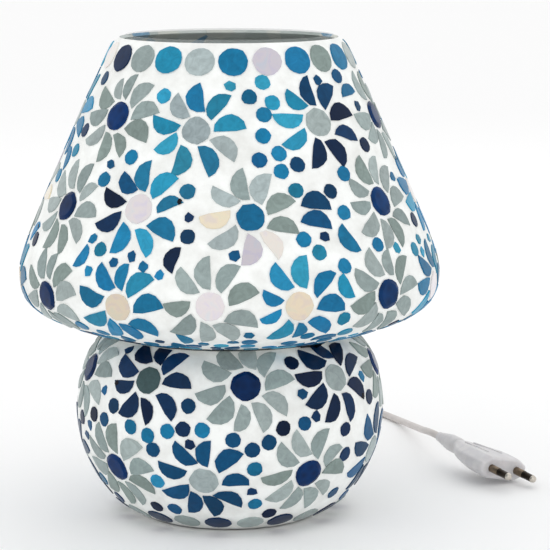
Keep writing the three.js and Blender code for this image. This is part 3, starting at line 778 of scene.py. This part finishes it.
def chip_mesh(plan, chip):
    line, outline = plan.line, chip["outline"]
    ring = line.at(chip["along"]).x
    bend = line.bend(chip["along"])

    def on_skin(x, y):
        flatness = 0.15 * (max(bend, 0) * y * y + x * x / ring)
        return line.place(chip["azimuth"] + math.degrees(x / ring), chip["along"] + y,
                          CHIP_PROUD + chip["lift"] + flatness)

    bm = bmesh.new()
    circle = bmesh.ops.create_circle(bm, cap_ends=True, cap_tris=True, segments=len(outline), radius=1 * MM)
    middle = [sum(values) / len(outline) for values in zip(*outline)]
    circle["verts"][0].co = on_skin(*middle)
    for vert, (x, y) in zip(circle["verts"][1:], outline):
        vert.co = on_skin(x, y)
    bm.normal_update()
    top = list(bm.faces)
    faceted = chip["glass"] == "gem"
    edge = bmesh.ops.inset_region(
        bm, faces=top, thickness=(FACET_WIDTH if faceted else EDGE_WIDTH) * MM,
        depth=(FACET_HEIGHT if faceted else EDGE_HEIGHT) * MM, use_boundary=True, use_even_offset=False,
    )["faces"]
    face_colour, edge_colour = chip_colours(chip["glass"])
    tint = bm.faces.layers.float_color.new("tint")
    for face in bm.faces:
        face[tint] = edge_colour if face in edge and not faceted else face_colour
    bmesh.ops.solidify(bm, geom=bm.faces[:], thickness=CHIP_BACK * MM)
    for face in bm.faces:
        if face[tint][3] == 0:  # a side wall, which solidify leaves blank
            face[tint] = edge_colour
    mesh = bpy.data.meshes.new("chip")
    bm.to_mesh(mesh)
    bm.free()
    return mesh


def lay_chips(name, plan, glasses, material):
    """All chips of some kinds of glass on one skin line, as one piece."""
    bm = bmesh.new()
    bm.faces.layers.float_color.new("tint")
    chosen = [chip for chip in plan.chips if chip["glass"] in glasses]
    for chip in chosen:
        mesh = chip_mesh(plan, chip)
        bm.from_mesh(mesh)
        bpy.data.meshes.remove(mesh)
    piece = finish_piece(name, bm, material, smooth_angle=14)
    print(name, len(chosen), "chips,", len(piece.data.polygons), "faces")
    return piece


# %% [markdown]
# Three finishes of glass are needed. Rolled cathedral glass is coloured through, with streaks and a
# wavy face that is only weakly glossy. Iridescent glass carries a thin metal-oxide film that turns milky
# glass to pearl. The gems are cut glass with a foil behind: their deep blue is painted lighter and darker in
# small cells, a painted glint for the light that the foil sends back, for less work than real refraction.

# %% Glass finishes
def chip_tint(tree):
    return add_node(tree, "ShaderNodeAttribute", {"attribute_name": "tint"}).outputs["Color"]


rolled_glass, tree, shader = new_material("rolled_cathedral_glass", Roughness=0.3, IOR=1.5,
                                          Specular_IOR_Level=0.12)
position = place_on_object(tree)
streak = add_node(tree, "ShaderNodeTexNoise", Vector=position, Scale=1 / (5 * MM), Detail=5.0,
                  Roughness=0.62, Distortion=1.2)
streak_gain = add_node(tree, "ShaderNodeMapRange", Value=streak.outputs["Fac"], From_Min=0.25, From_Max=0.75,
                       To_Min=0.78, To_Max=1.2)
streaked = add_node(tree, "ShaderNodeVectorMath", {"operation": "SCALE"}, _0=chip_tint(tree),
                    Scale=streak_gain.outputs["Result"])
tree.links.new(streaked.outputs["Vector"], shader.inputs["Base Color"])
roll_wave = add_node(tree, "ShaderNodeTexNoise", Vector=position, Scale=1 / (3.2 * MM), Detail=3.0)
roll_bump = add_node(tree, "ShaderNodeBump", Height=roll_wave.outputs["Fac"], Strength=0.3,
                     Distance=0.25 * MM)
tree.links.new(roll_bump.outputs["Normal"], shader.inputs["Normal"])

pearl_glass, tree, shader = new_material("iridescent_milk_glass", Roughness=0.22, IOR=1.55, Coat_Weight=0.4,
                                         Coat_Roughness=0.1)
position = place_on_object(tree)
film = add_node(tree, "ShaderNodeTexNoise", Vector=position, Scale=1 / (8 * MM), Detail=3.0, Distortion=0.8)
film_colours = add_node(tree, "ShaderNodeValToRGB", Fac=film.outputs["Fac"])
film_colours.color_ramp.elements[0].position = 0.3
film_colours.color_ramp.elements[0].color = linear("cfc6e2")
film_colours.color_ramp.elements[1].position = 0.7
film_colours.color_ramp.elements[1].color = linear("d4dfdc")
middle = film_colours.color_ramp.elements.new(0.5)
middle.color = linear("ecdfd2")
milk = add_node(tree, "ShaderNodeMix", {"data_type": "RGBA"}, Factor=0.35)
tree.links.new(chip_tint(tree), milk.inputs[6])
tree.links.new(film_colours.outputs["Color"], milk.inputs[7])
tree.links.new(milk.outputs[2], shader.inputs["Base Color"])
film_bump = add_node(tree, "ShaderNodeBump", Height=film.outputs["Fac"], Strength=0.3, Distance=0.3 * MM)
tree.links.new(film_bump.outputs["Normal"], shader.inputs["Normal"])

gem_glass, tree, shader = new_material("foiled_cut_glass", Roughness=0.16, IOR=1.5, Specular_IOR_Level=0.08,
                                       Coat_Weight=0.05, Coat_Roughness=0.06)
position = place_on_object(tree)
# painted glint: the gem's blue is made lighter and darker in small cells, standing for light sent back by
# the foil
foil = add_node(tree, "ShaderNodeTexVoronoi", Vector=position, Scale=1 / (5 * MM))
painted_glint_gain = add_node(tree, "ShaderNodeMapRange", Value=foil.outputs["Distance"], To_Min=0.7, To_Max=1.35)
painted_glint_colour = add_node(tree, "ShaderNodeVectorMath", {"operation": "SCALE"}, _0=chip_tint(tree),
                  Scale=painted_glint_gain.outputs["Result"])
tree.links.new(painted_glint_colour.outputs["Vector"], shader.inputs["Base Color"])

ROLLED = {"teal", "blue", "deep", "navy", "cobalt", "grey", "smoke", "pale", "black"}
PEARLY = {"cream", "pearl", "lavender"}
for where, plan in (("shade", shade_plan), ("base", base_plan)):
    lay_chips(where + "_rolled_chips", plan, ROLLED, rolled_glass)
    lay_chips(where + "_gems", plan, {"gem"}, gem_glass)
    if any(chip["glass"] in PEARLY for chip in plan.chips):
        lay_chips(where + "_pearl_chips", plan, PEARLY, pearl_glass)

# %% [markdown]
# ## The glass envelope
# Under the mosaic is a clear blown bubble, about 2.6 mm thick, which shows at the rim and through the
# mouth. The frame's solid has flat sides, and its mesh isn't changed, so its cross-section is read,
# smoothed where it curves, and spun again in many more steps. The same helper serves every other turned
# part of the lamp: holder, bulb, washers and felt ring. One section can't hold a hole in the side, so the
# cord's hole through the bubble and the grout is not shown.


# %% Turn a frame part again
CORNER = 30  # degrees; a sharper turn in a cross-section is kept as a corner


def section_of(node):
    """The closed cross-section of a turned CAD solid, as (radius, height) in mm, in order."""
    bm = bmesh.new()
    bm.from_mesh(nodes[node].data)
    bmesh.ops.remove_doubles(bm, verts=bm.verts[:], dist=0.001 * MM)
    widest = max(bm.verts, key=lambda v: math.hypot(v.co.x, v.co.y))
    to_front = Matrix.Rotation(-math.atan2(widest.co.y, widest.co.x), 3, "Z")
    bmesh.ops.rotate(bm, matrix=to_front, verts=bm.verts[:])
    flat = {v for v in bm.verts if abs(v.co.y) < 1e-6 and v.co.x > -1e-6}
    axis = [v for v in flat if v.co.x < 1e-6]
    links = {v: [e.other_vert(v) for e in v.link_edges if e.other_vert(v) in flat] for v in flat}
    start = min(axis or flat, key=lambda v: (v.co.z, v.co.x))
    path, seen = [start], {start}
    while True:
        onward = [v for v in links[path[-1]] if v not in seen and not (v in axis and path[-1] in axis)]
        if not onward:
            break
        path.append(min(onward, key=lambda v: (v.co - path[-1].co).length))
        seen.add(path[-1])
    outline = [Vector((v.co.x / MM, v.co.z / MM)) for v in path]
    bm.free()
    return outline, bool(axis)


def eased(outline, steps, closed):
    """Smooth curves between the corners of a cross-section."""
    count = len(outline)
    out = []
    for i in range(count if closed else count - 1):
        start, end = outline[i], outline[(i + 1) % count]
        before = outline[i - 1] if closed or i else 2 * start - end
        after = outline[(i + 2) % count] if closed or i + 2 < count else 2 * end - start
        chord = (end - start).length

        def pull(here, towards, away):
            turn = math.degrees(abs((here - away).angle(towards - here, 0)))
            gaps = (here - away).length, (towards - here).length
            if turn > CORNER or min(gaps) < 0.12 * max(gaps):
                return end - start
            return (towards - away).normalized() * chord

        pull_out, pull_in = pull(start, end, before), pull(end, after, start)
        for step in range(steps):
            t = step / steps
            out.append(
                start * (2 * t**3 - 3 * t**2 + 1) + pull_out * (t**3 - 2 * t**2 + t)
                + end * (3 * t**2 - 2 * t**3) + pull_in * (t**3 - t**2)
            )
    return out if closed else out + [outline[-1]]


def turned_again(name, node, material, body="lamp", steps=48, curve=4, wall=None):
    outline, solid = section_of(node)
    outline = eased(outline, curve, closed=not solid)
    bm = spun([tuple(point) for point in outline], steps, closed=not solid)
    if bm.calc_volume(signed=True) < 0:
        bmesh.ops.reverse_faces(bm, faces=bm.faces[:])
    if wall:
        wall(bm)
    piece = finish_piece(name, bm, material, body=body)
    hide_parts(node)
    print(name, len(outline), "points round its section,", len(piece.data.polygons), "faces")
    return piece


# %% [markdown]
# A wall of soda-lime glass this thin hardly bends what is behind it. It is nearly colourless, with a faint
# green-grey in its thickness, so it is a thin see-through skin with a polished surface.

# %% Clear glass
clear_glass, tree, shader = new_material("blown_soda_lime_glass", Base_Color=linear("c9d2cf"),
                                         Roughness=0.06, IOR=1.5, Alpha=0.16)
position = place_on_object(tree)
seeds = add_node(tree, "ShaderNodeTexNoise", Vector=position, Scale=1 / (24 * MM), Detail=2.0)
hand_blown = add_node(tree, "ShaderNodeBump", Height=seeds.outputs["Fac"], Strength=0.2, Distance=0.5 * MM)
tree.links.new(hand_blown.outputs["Normal"], shader.inputs["Normal"])

turned_again("glass_bubble", "glass_envelope", clear_glass, steps=128)

# %% [markdown]
# ## Metal, rubber, felt and moulded plastics
# Small hardware is zinc-plated pressed steel: bright, a little blue, with a fine random grain from the
# plating bath. The holder is black moulded phenolic with a white porcelain insert, its threads are brass,
# and gaskets are black rubber. Each finish gets its grain from noise at the real size of that grain.


# %% Finishes of the fittings
def grained(name, colour, roughness, grain_mm, spread=0.1, bump=0.1, depth_mm=0.05, **values):
    """A one-colour finish whose colour and roughness vary with a grain of a given size."""
    material, tree, shader = new_material(name, **values)
    position = place_on_object(tree)
    grain = add_node(tree, "ShaderNodeTexNoise", Vector=position, Scale=1 / (grain_mm * MM), Detail=3.0)
    dark = [v * (1 - spread) for v in linear(colour)[:3]] + [1]
    light = [min(v * (1 + spread), 1) for v in linear(colour)[:3]] + [1]
    tone = add_node(tree, "ShaderNodeMix", {"data_type": "RGBA"}, Factor=grain.outputs["Fac"])
    tone.inputs[6].default_value = dark
    tone.inputs[7].default_value = light
    tree.links.new(tone.outputs[2], shader.inputs["Base Color"])
    rough = add_node(tree, "ShaderNodeMapRange", Value=grain.outputs["Fac"], To_Min=roughness * 0.8,
                     To_Max=min(roughness * 1.2, 1))
    tree.links.new(rough.outputs["Result"], shader.inputs["Roughness"])
    relief = add_node(tree, "ShaderNodeBump", Height=grain.outputs["Fac"], Strength=bump,
                      Distance=depth_mm * MM)
    tree.links.new(relief.outputs["Normal"], shader.inputs["Normal"])
    return material


zinc = grained("zinc_plated_pressed_steel", "b9bdc0", 0.34, 1.6, spread=0.14, Metallic=1.0)
brass = grained("drawn_brass", "c9a35a", 0.24, 2.2, spread=0.1, Metallic=1.0)
phenolic = grained("moulded_black_phenolic", "1b1b1d", 0.32, 0.8, spread=0.25, bump=0.2)
porcelain = grained("glazed_porcelain", "eceae3", 0.12, 9, spread=0.03, Coat_Weight=0.4, Coat_Roughness=0.05)
rubber = grained("black_gasket_rubber", "242424", 0.78, 0.6, spread=0.2, bump=0.4)
felt = grained("pressed_wool_felt", "2c2f33", 0.95, 0.7, spread=0.35, bump=0.9, depth_mm=0.4)
cap_nickel = grained("nickel_plated_cap", "b5b0a6", 0.22, 1.8, Metallic=1.0)
opal = grained("opal_bulb_glass", "f3f1ea", 0.2, 12, spread=0.02, Subsurface_Weight=0.4,
               Subsurface_Scale=0.01, Coat_Weight=0.3, Coat_Roughness=0.05)
black_glass = grained("black_vitrified_glass", "15151a", 0.12, 3, spread=0.2)

# %% [markdown]
# ## Clamp, holder and bulb
# Everything round is spun again from its section. The bulb's cap carries a round knuckle thread with a
# 3.6 mm pitch: it is pushed into the finished wall as a helix, so that the bulb can be seen to screw. The
# holder's shell has the same thread on the real lamp, but it is out of sight and left plain. The bulb rides
# on its own body, because it turns and rises out of the holder.

# %% Round fittings
THREAD_PITCH = 3.6
THREAD_DEPTH = 0.42


def knuckle_thread(low, high, inner, outer):
    """Returns a function that presses a helix into a wall between two heights and two radii, in mm."""

    def press(bm):
        rings = [e for e in bm.edges
                 if abs(e.verts[0].co.z - e.verts[1].co.z) > 2 * MM
                 and inner * MM < math.hypot(e.verts[0].co.x, e.verts[0].co.y) < outer * MM]
        bmesh.ops.subdivide_edges(bm, edges=rings, cuts=14, use_grid_fill=True)
        for vert in bm.verts:
            radius, height = math.hypot(vert.co.x, vert.co.y) / MM, vert.co.z / MM
            if not (inner < radius < outer and low < height < high):
                continue
            turn = math.atan2(vert.co.y, vert.co.x) / math.tau
            fade = min((height - low) / 1.2, (high - height) / 1.2, 1)
            wave = THREAD_DEPTH * fade * (math.cos(math.tau * (height / THREAD_PITCH - turn)) - 1)
            vert.co.x *= (radius + wave) / radius
            vert.co.y *= (radius + wave) / radius

    return press


turned_again("felt_foot", "foot_ring", felt, steps=96)
turned_again("gasket_under", "lower_gasket", rubber, steps=64)
turned_again("gasket_over", "upper_gasket", rubber, steps=64)
turned_again("threaded_tube", "nipple", brass)
turned_again("holder_lid", "holder_cap", phenolic, steps=64)
turned_again("holder_body", "holder_sleeve", phenolic, steps=64)
turned_again("holder_porcelain", "holder_insert", porcelain, steps=64)
turned_again("holder_thread", "thread_shell", brass, steps=64)
turned_again("bulb_envelope", "bulb_glass", opal, body="bulb", steps=64)
turned_again("bulb_seal", "bulb_insulator", black_glass, body="bulb")
turned_again("bulb_tip", "bulb_tip_contact", cap_nickel, body="bulb_lift")
cap_low, cap_high = (corner.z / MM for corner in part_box("bulb_cap"))
turned_again("bulb_screw_cap", "bulb_cap", cap_nickel, body="bulb", steps=64,
             wall=knuckle_thread(cap_low + 2, cap_high - 3, 12, 14))

# %% [markdown]
# Flat hardware is already the right shape in the frame. A copy of it has its doubled points merged and its
# edges rounded by a Bevel modifier, as pressed and sheared metal has no knife edge.


# %% Flat fittings
def eased_copy(name, node, material, round_mm, body="lamp", segments=2):
    bm = bmesh.new()
    bm.from_mesh(nodes[node].data)
    bmesh.ops.remove_doubles(bm, verts=bm.verts[:], dist=0.002 * MM)
    bmesh.ops.dissolve_limit(bm, angle_limit=math.radians(2), verts=bm.verts[:], edges=bm.edges[:])
    piece = finish_piece(name, bm, material, body=body, smooth_angle=32)
    bevel = piece.modifiers.new("eased_edges", "BEVEL")
    bevel.width = round_mm * MM
    bevel.segments = segments
    bevel.limit_method = "ANGLE"
    bevel.angle_limit = math.radians(32)
    bevel.harden_normals = True
    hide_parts(node)
    return piece


eased_copy("plate_under", "lower_plate", zinc, 0.25)
eased_copy("plate_over", "upper_plate", zinc, 0.25)
eased_copy("hat_bracket", "holder_bracket", zinc, 0.5, segments=3)
for side in ("left", "right"):
    eased_copy("screw_" + side, "clamp_screw_" + side, zinc, 0.2)
    eased_copy("nut_" + side, "clamp_nut_" + side, zinc, 0.3)
for level in ("lower", "upper"):
    eased_copy("tube_nut_" + level, "lock_nut_" + level, brass, 0.3)
eased_copy("contact_tongue", "centre_contact", brass, 0.15)

# %% [markdown]
# ## Switch, tie and strain relief on the cord
# The hand switch is a two-shell ABS moulding with a rocker. ABS is a little glossy, with a fine spark-eroded
# grain. The tie is a flat plastic band. The strain relief is a soft moulding with ribs that let it bend.

# %% Moulded plastics
abs_white = grained("spark_eroded_white_abs", "eceae6", 0.38, 0.5, spread=0.03, bump=0.25)
rocker_abs = grained("polished_white_abs", "e2e1de", 0.2, 5, spread=0.02)
tie_plastic = grained("white_tie_plastic", "dfe2e3", 0.45, 1.2, spread=0.04)

shells = [
    eased_copy("switch_case_lower", "switch_lower_shell", abs_white, 0.9, segments=4),
    eased_copy("switch_case_upper", "switch_upper_shell", abs_white, 0.9, segments=4),
]
rocker = eased_copy(
    "switch_key", "switch_rocker", rocker_abs, 0.5, body="rocker", segments=3
)
case_screws = [eased_copy("case_screw_" + end, "switch_screw_" + end, zinc, 0.2)
               for end in ("front", "rear")]
coil_tie = eased_copy("cord_tie", "coil_tie", tie_plastic, 0.5, segments=3)


def ribbed_relief(name, profile, ribs, place, material):
    """A turned strain relief; ribs are (start, end, how many, depth) along its tail, in mm."""
    start, end, count, depth = ribs
    outline = []
    for (r0, z0), (r1, z1) in zip(profile, profile[1:]):
        outline.append((r0, z0))
        if z0 >= start - 0.1 and r0 and r1:
            steps = max(round((z1 - z0) / ((end - start) / count / 4)), 1)
            for i in range(1, steps):
                z = z0 + (z1 - z0) * i / steps
                wave = 0.5 - 0.5 * math.cos(math.tau * count * (z - start) / (end - start))
                outline.append((r0 + (r1 - r0) * i / steps - depth * wave, z))
    outline.append(profile[-1])
    bm = spun(outline, 40, closed=False)
    if bm.calc_volume(signed=True) < 0:
        bmesh.ops.reverse_faces(bm, faces=bm.faces[:])
    bmesh.ops.transform(bm, matrix=place, verts=bm.verts[:])
    return finish_piece(name, bm, material)


exit_place = (
    Matrix.Translation(Vector((0, EXIT_RADIUS, EXIT_HEIGHT)) * MM)
    @ Matrix.Rotation(-math.radians(90) - EXIT_TILT, 4, "X")
)
relief_profile = [(0, -10.4), (6.8, -10.4), (6.8, -7.4), (4.7, -7.4), (4.7, 0.8), (7.4, 0.8), (7.6, 2.0),
                  (7.2, 2.8), (5, 4.2), (4.3, 14), (3.2, 26), (0, 26)]
exit_relief = ribbed_relief("exit_relief", relief_profile, (4.2, 26, 8, 0.55), exit_place, cord_pvc)
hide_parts("cord_strain_relief")
print("switch, tie and strain relief ready")

# %% [markdown]
# Inside the lamp the cord climbs from the strain relief through the threaded tube to the holder. It is
# clamped at both ends, so it isn't a free cord, only a curve of the same PVC.

# %% Cord inside the base
INNER_ROUTE = [exit_point(-9), (0, 65, 40.8), (0, 56, 42.6), (0, 45, 42.6), (0, 34, 40.6), (0, 24, 38.8),
               (0, 14, 39.8), (0, 6.2, 45), (0, 1.4, 53), (0, 0, 62), (0, 0, 79.4)]
inner_cord = round_cord("inner_cord_curve", INNER_ROUTE, CORD_DIAMETER, cord_pvc)
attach(inner_cord, "lamp")
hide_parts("inner_cord")

# %% [markdown]
# ## The plug
# The plug is moulded straight onto the cord in translucent white PVC. Seen from above it widens from a
# short collar to a broad grip and narrows a little to its face; seen from the end it is a flat hexagon.
# It is lofted: one ring of eight points is placed at each station and the rings are bridged, which keeps
# the facets that the fingers feel. Two ridges on each flat steer the thumb.

# %% Plug PVC
plug_pvc, tree, shader = new_material("translucent_moulded_pvc", Roughness=0.34, IOR=1.5,
                                      Subsurface_Weight=0.5, Subsurface_Scale=0.004)
shader.inputs["Subsurface Radius"].default_value = (1.0, 0.9, 0.85)
position = place_on_object(tree)
flow = add_node(tree, "ShaderNodeTexNoise", Vector=position, Scale=1 / (6 * MM), Detail=3.0, Distortion=0.6)
milky = add_node(tree, "ShaderNodeValToRGB", Fac=flow.outputs["Fac"])
milky.color_ramp.elements[0].color = linear("bdbbc0")
milky.color_ramp.elements[1].color = linear("dcdad9")
tree.links.new(milky.outputs["Color"], shader.inputs["Base Color"])
sink = add_node(tree, "ShaderNodeBump", Height=flow.outputs["Fac"], Strength=0.2, Distance=0.4 * MM)
tree.links.new(sink.outputs["Normal"], shader.inputs["Normal"])

# %% Plug body
plug_place = Matrix.Translation(PLUG_FACE * MM) @ plug_turn
PLUG_STATIONS = [
    # along the pins, half width, half height, all mm
    (-47, 5.2, 4.4), (-44, 6.4, 4.7), (-39.5, 9.4, 5.0), (-34, 12.6, 5.4), (-28, 15.2, 6.0),
    (-20, 17.0, 6.6), (-13, 17.5, 6.85), (-5, 17.4, 6.85), (-1.4, 17.0, 6.7), (0, 16.2, 6.0),
]


def hexagon_ring(bm, along, wide, tall):
    """Eight points of a flat hexagon with cut corners, standing across the pins."""
    ring = bmesh.ops.create_circle(bm, cap_ends=False, segments=8, radius=1)["verts"]
    corners = [(1, 0.42), (0.62, 1), (-0.62, 1), (-1, 0.42), (-1, -0.42), (-0.62, -1), (0.62, -1),
               (1, -0.42)]
    for vert, (across, up) in zip(ring, corners):
        vert.co = Vector((along, across * wide, up * tall)) * MM
    return list(dict.fromkeys(edge for vert in ring for edge in vert.link_edges))


bm = bmesh.new()
rings = [hexagon_ring(bm, *station) for station in PLUG_STATIONS]
for first, second in zip(rings, rings[1:]):
    bmesh.ops.bridge_loops(bm, edges=first + second)
for ring in (rings[0], rings[-1]):
    bmesh.ops.edgeloop_fill(bm, edges=ring)
bmesh.ops.recalc_face_normals(bm, faces=bm.faces[:])
bmesh.ops.transform(bm, matrix=plug_place, verts=bm.verts[:])
plug_grip = finish_piece("plug_grip", bm, plug_pvc, smooth_angle=26)
plug_bevel = plug_grip.modifiers.new("moulded_edges", "BEVEL")
plug_bevel.width = 0.9 * MM
plug_bevel.segments = 3
plug_bevel.limit_method = "ANGLE"
plug_bevel.angle_limit = math.radians(26)
plug_bevel.harden_normals = True
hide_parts("plug_body")

# %% Ridges on the plug
bm = bmesh.new()
for side in (-1, 1):
    for across in (-4.2, 4.2):
        ridge = bmesh.ops.create_cube(bm, size=1)["verts"]
        slope = Matrix.Rotation(math.radians(-side * 3.4), 4, "Y")
        splay = Matrix.Rotation(math.radians(across * 1.1), 4, "Z")
        bmesh.ops.transform(
            bm, verts=ridge,
            matrix=Matrix.Translation(Vector((-25, across, side * 5.7)) * MM) @ slope @ splay
            @ Matrix.Diagonal((26 * MM, 1.7 * MM, 2.2 * MM, 1)),
        )
bmesh.ops.bevel(bm, geom=bm.edges[:], offset=0.45 * MM, offset_type="OFFSET", segments=3, profile=0.5,
                affect="EDGES", material=-1)
bmesh.ops.transform(bm, matrix=plug_place, verts=bm.verts[:])
plug_ridges = finish_piece("plug_ridges", bm, plug_pvc)

along_pins = Matrix.Rotation(math.radians(90), 4, "Y")
collar_profile = [(0, -1), (4.4, -1), (5.2, 0.6), (5.3, 3), (5.2, 9), (4.6, 12.5), (3.9, 16), (3.1, 21.4),
                  (0, 21.4)]
plug_collar = ribbed_relief(
    "plug_collar", collar_profile, (8, 21.4, 4, 0.3),
    plug_place @ Matrix.Translation(Vector((-47, 0, 0)) * MM) @ Matrix.Rotation(math.radians(-90), 4, "Y"),
    plug_pvc)
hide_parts("plug_strain_relief")

# %% [markdown]
# The pins are turned nickel-plated brass with rounded tips. The first part of each is a brown-grey
# insulating sleeve; behind it the shaft is painted dark, a painted reflection, and the tip is painted
# bright, a painted highlight. The three tones are written on the faces as a colour, since they follow the
# length of the pin.

# %% Pins
pin_nickel, tree, shader = new_material("nickel_plated_pin_painted_reflection", Roughness=0.3, Metallic=1.0)
rubbing = add_node(tree, "ShaderNodeTexNoise", Vector=place_on_object(tree), Scale=1 / (1.6 * MM),
                   Detail=3.0)
rubbed_gain = add_node(tree, "ShaderNodeMapRange", Value=rubbing.outputs["Fac"], To_Min=0.75, To_Max=1.3)
rubbed = add_node(tree, "ShaderNodeVectorMath", {"operation": "SCALE"}, _0=chip_tint(tree),
                  Scale=rubbed_gain.outputs["Result"])
tree.links.new(rubbed.outputs["Vector"], shader.inputs["Base Color"])

PIN_OUTLINE = [(0, -2), (2.4, -2), (2.4, 8), (2.22, 8.4), (2.22, 15.4), (2.3, 16.6), (1.95, 17.9),
               (1.2, 18.75), (0, 19)]
# the sleeve's brown-grey is its own colour; the dark shaft is painted reflection and the bright tip a
# painted highlight
PIN_SLEEVE_AND_REFLECTION_TONES = [(8.1, "786a5a"), (16.3, "2e2822"), (99, "c9c2b8")]  # up to this height in mm, this colour
for side, across in (("left", -9.5), ("right", 9.5)):
    bm = spun(PIN_OUTLINE, 32, closed=False)
    if bm.calc_volume(signed=True) < 0:
        bmesh.ops.reverse_faces(bm, faces=bm.faces[:])
    tint = bm.faces.layers.float_color.new("tint")
    for face in bm.faces:
        height = face.calc_center_median().z / MM
        face[tint] = next(linear(colour) for top, colour in PIN_SLEEVE_AND_REFLECTION_TONES if height < top)
    bmesh.ops.transform(bm, matrix=plug_place @ Matrix.Translation(Vector((0, across, 0)) * MM) @ along_pins,
                        verts=bm.verts[:])
    pin = finish_piece("pin_" + side, bm, pin_nickel)
    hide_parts("plug_pin_" + side)
print("plug ready")
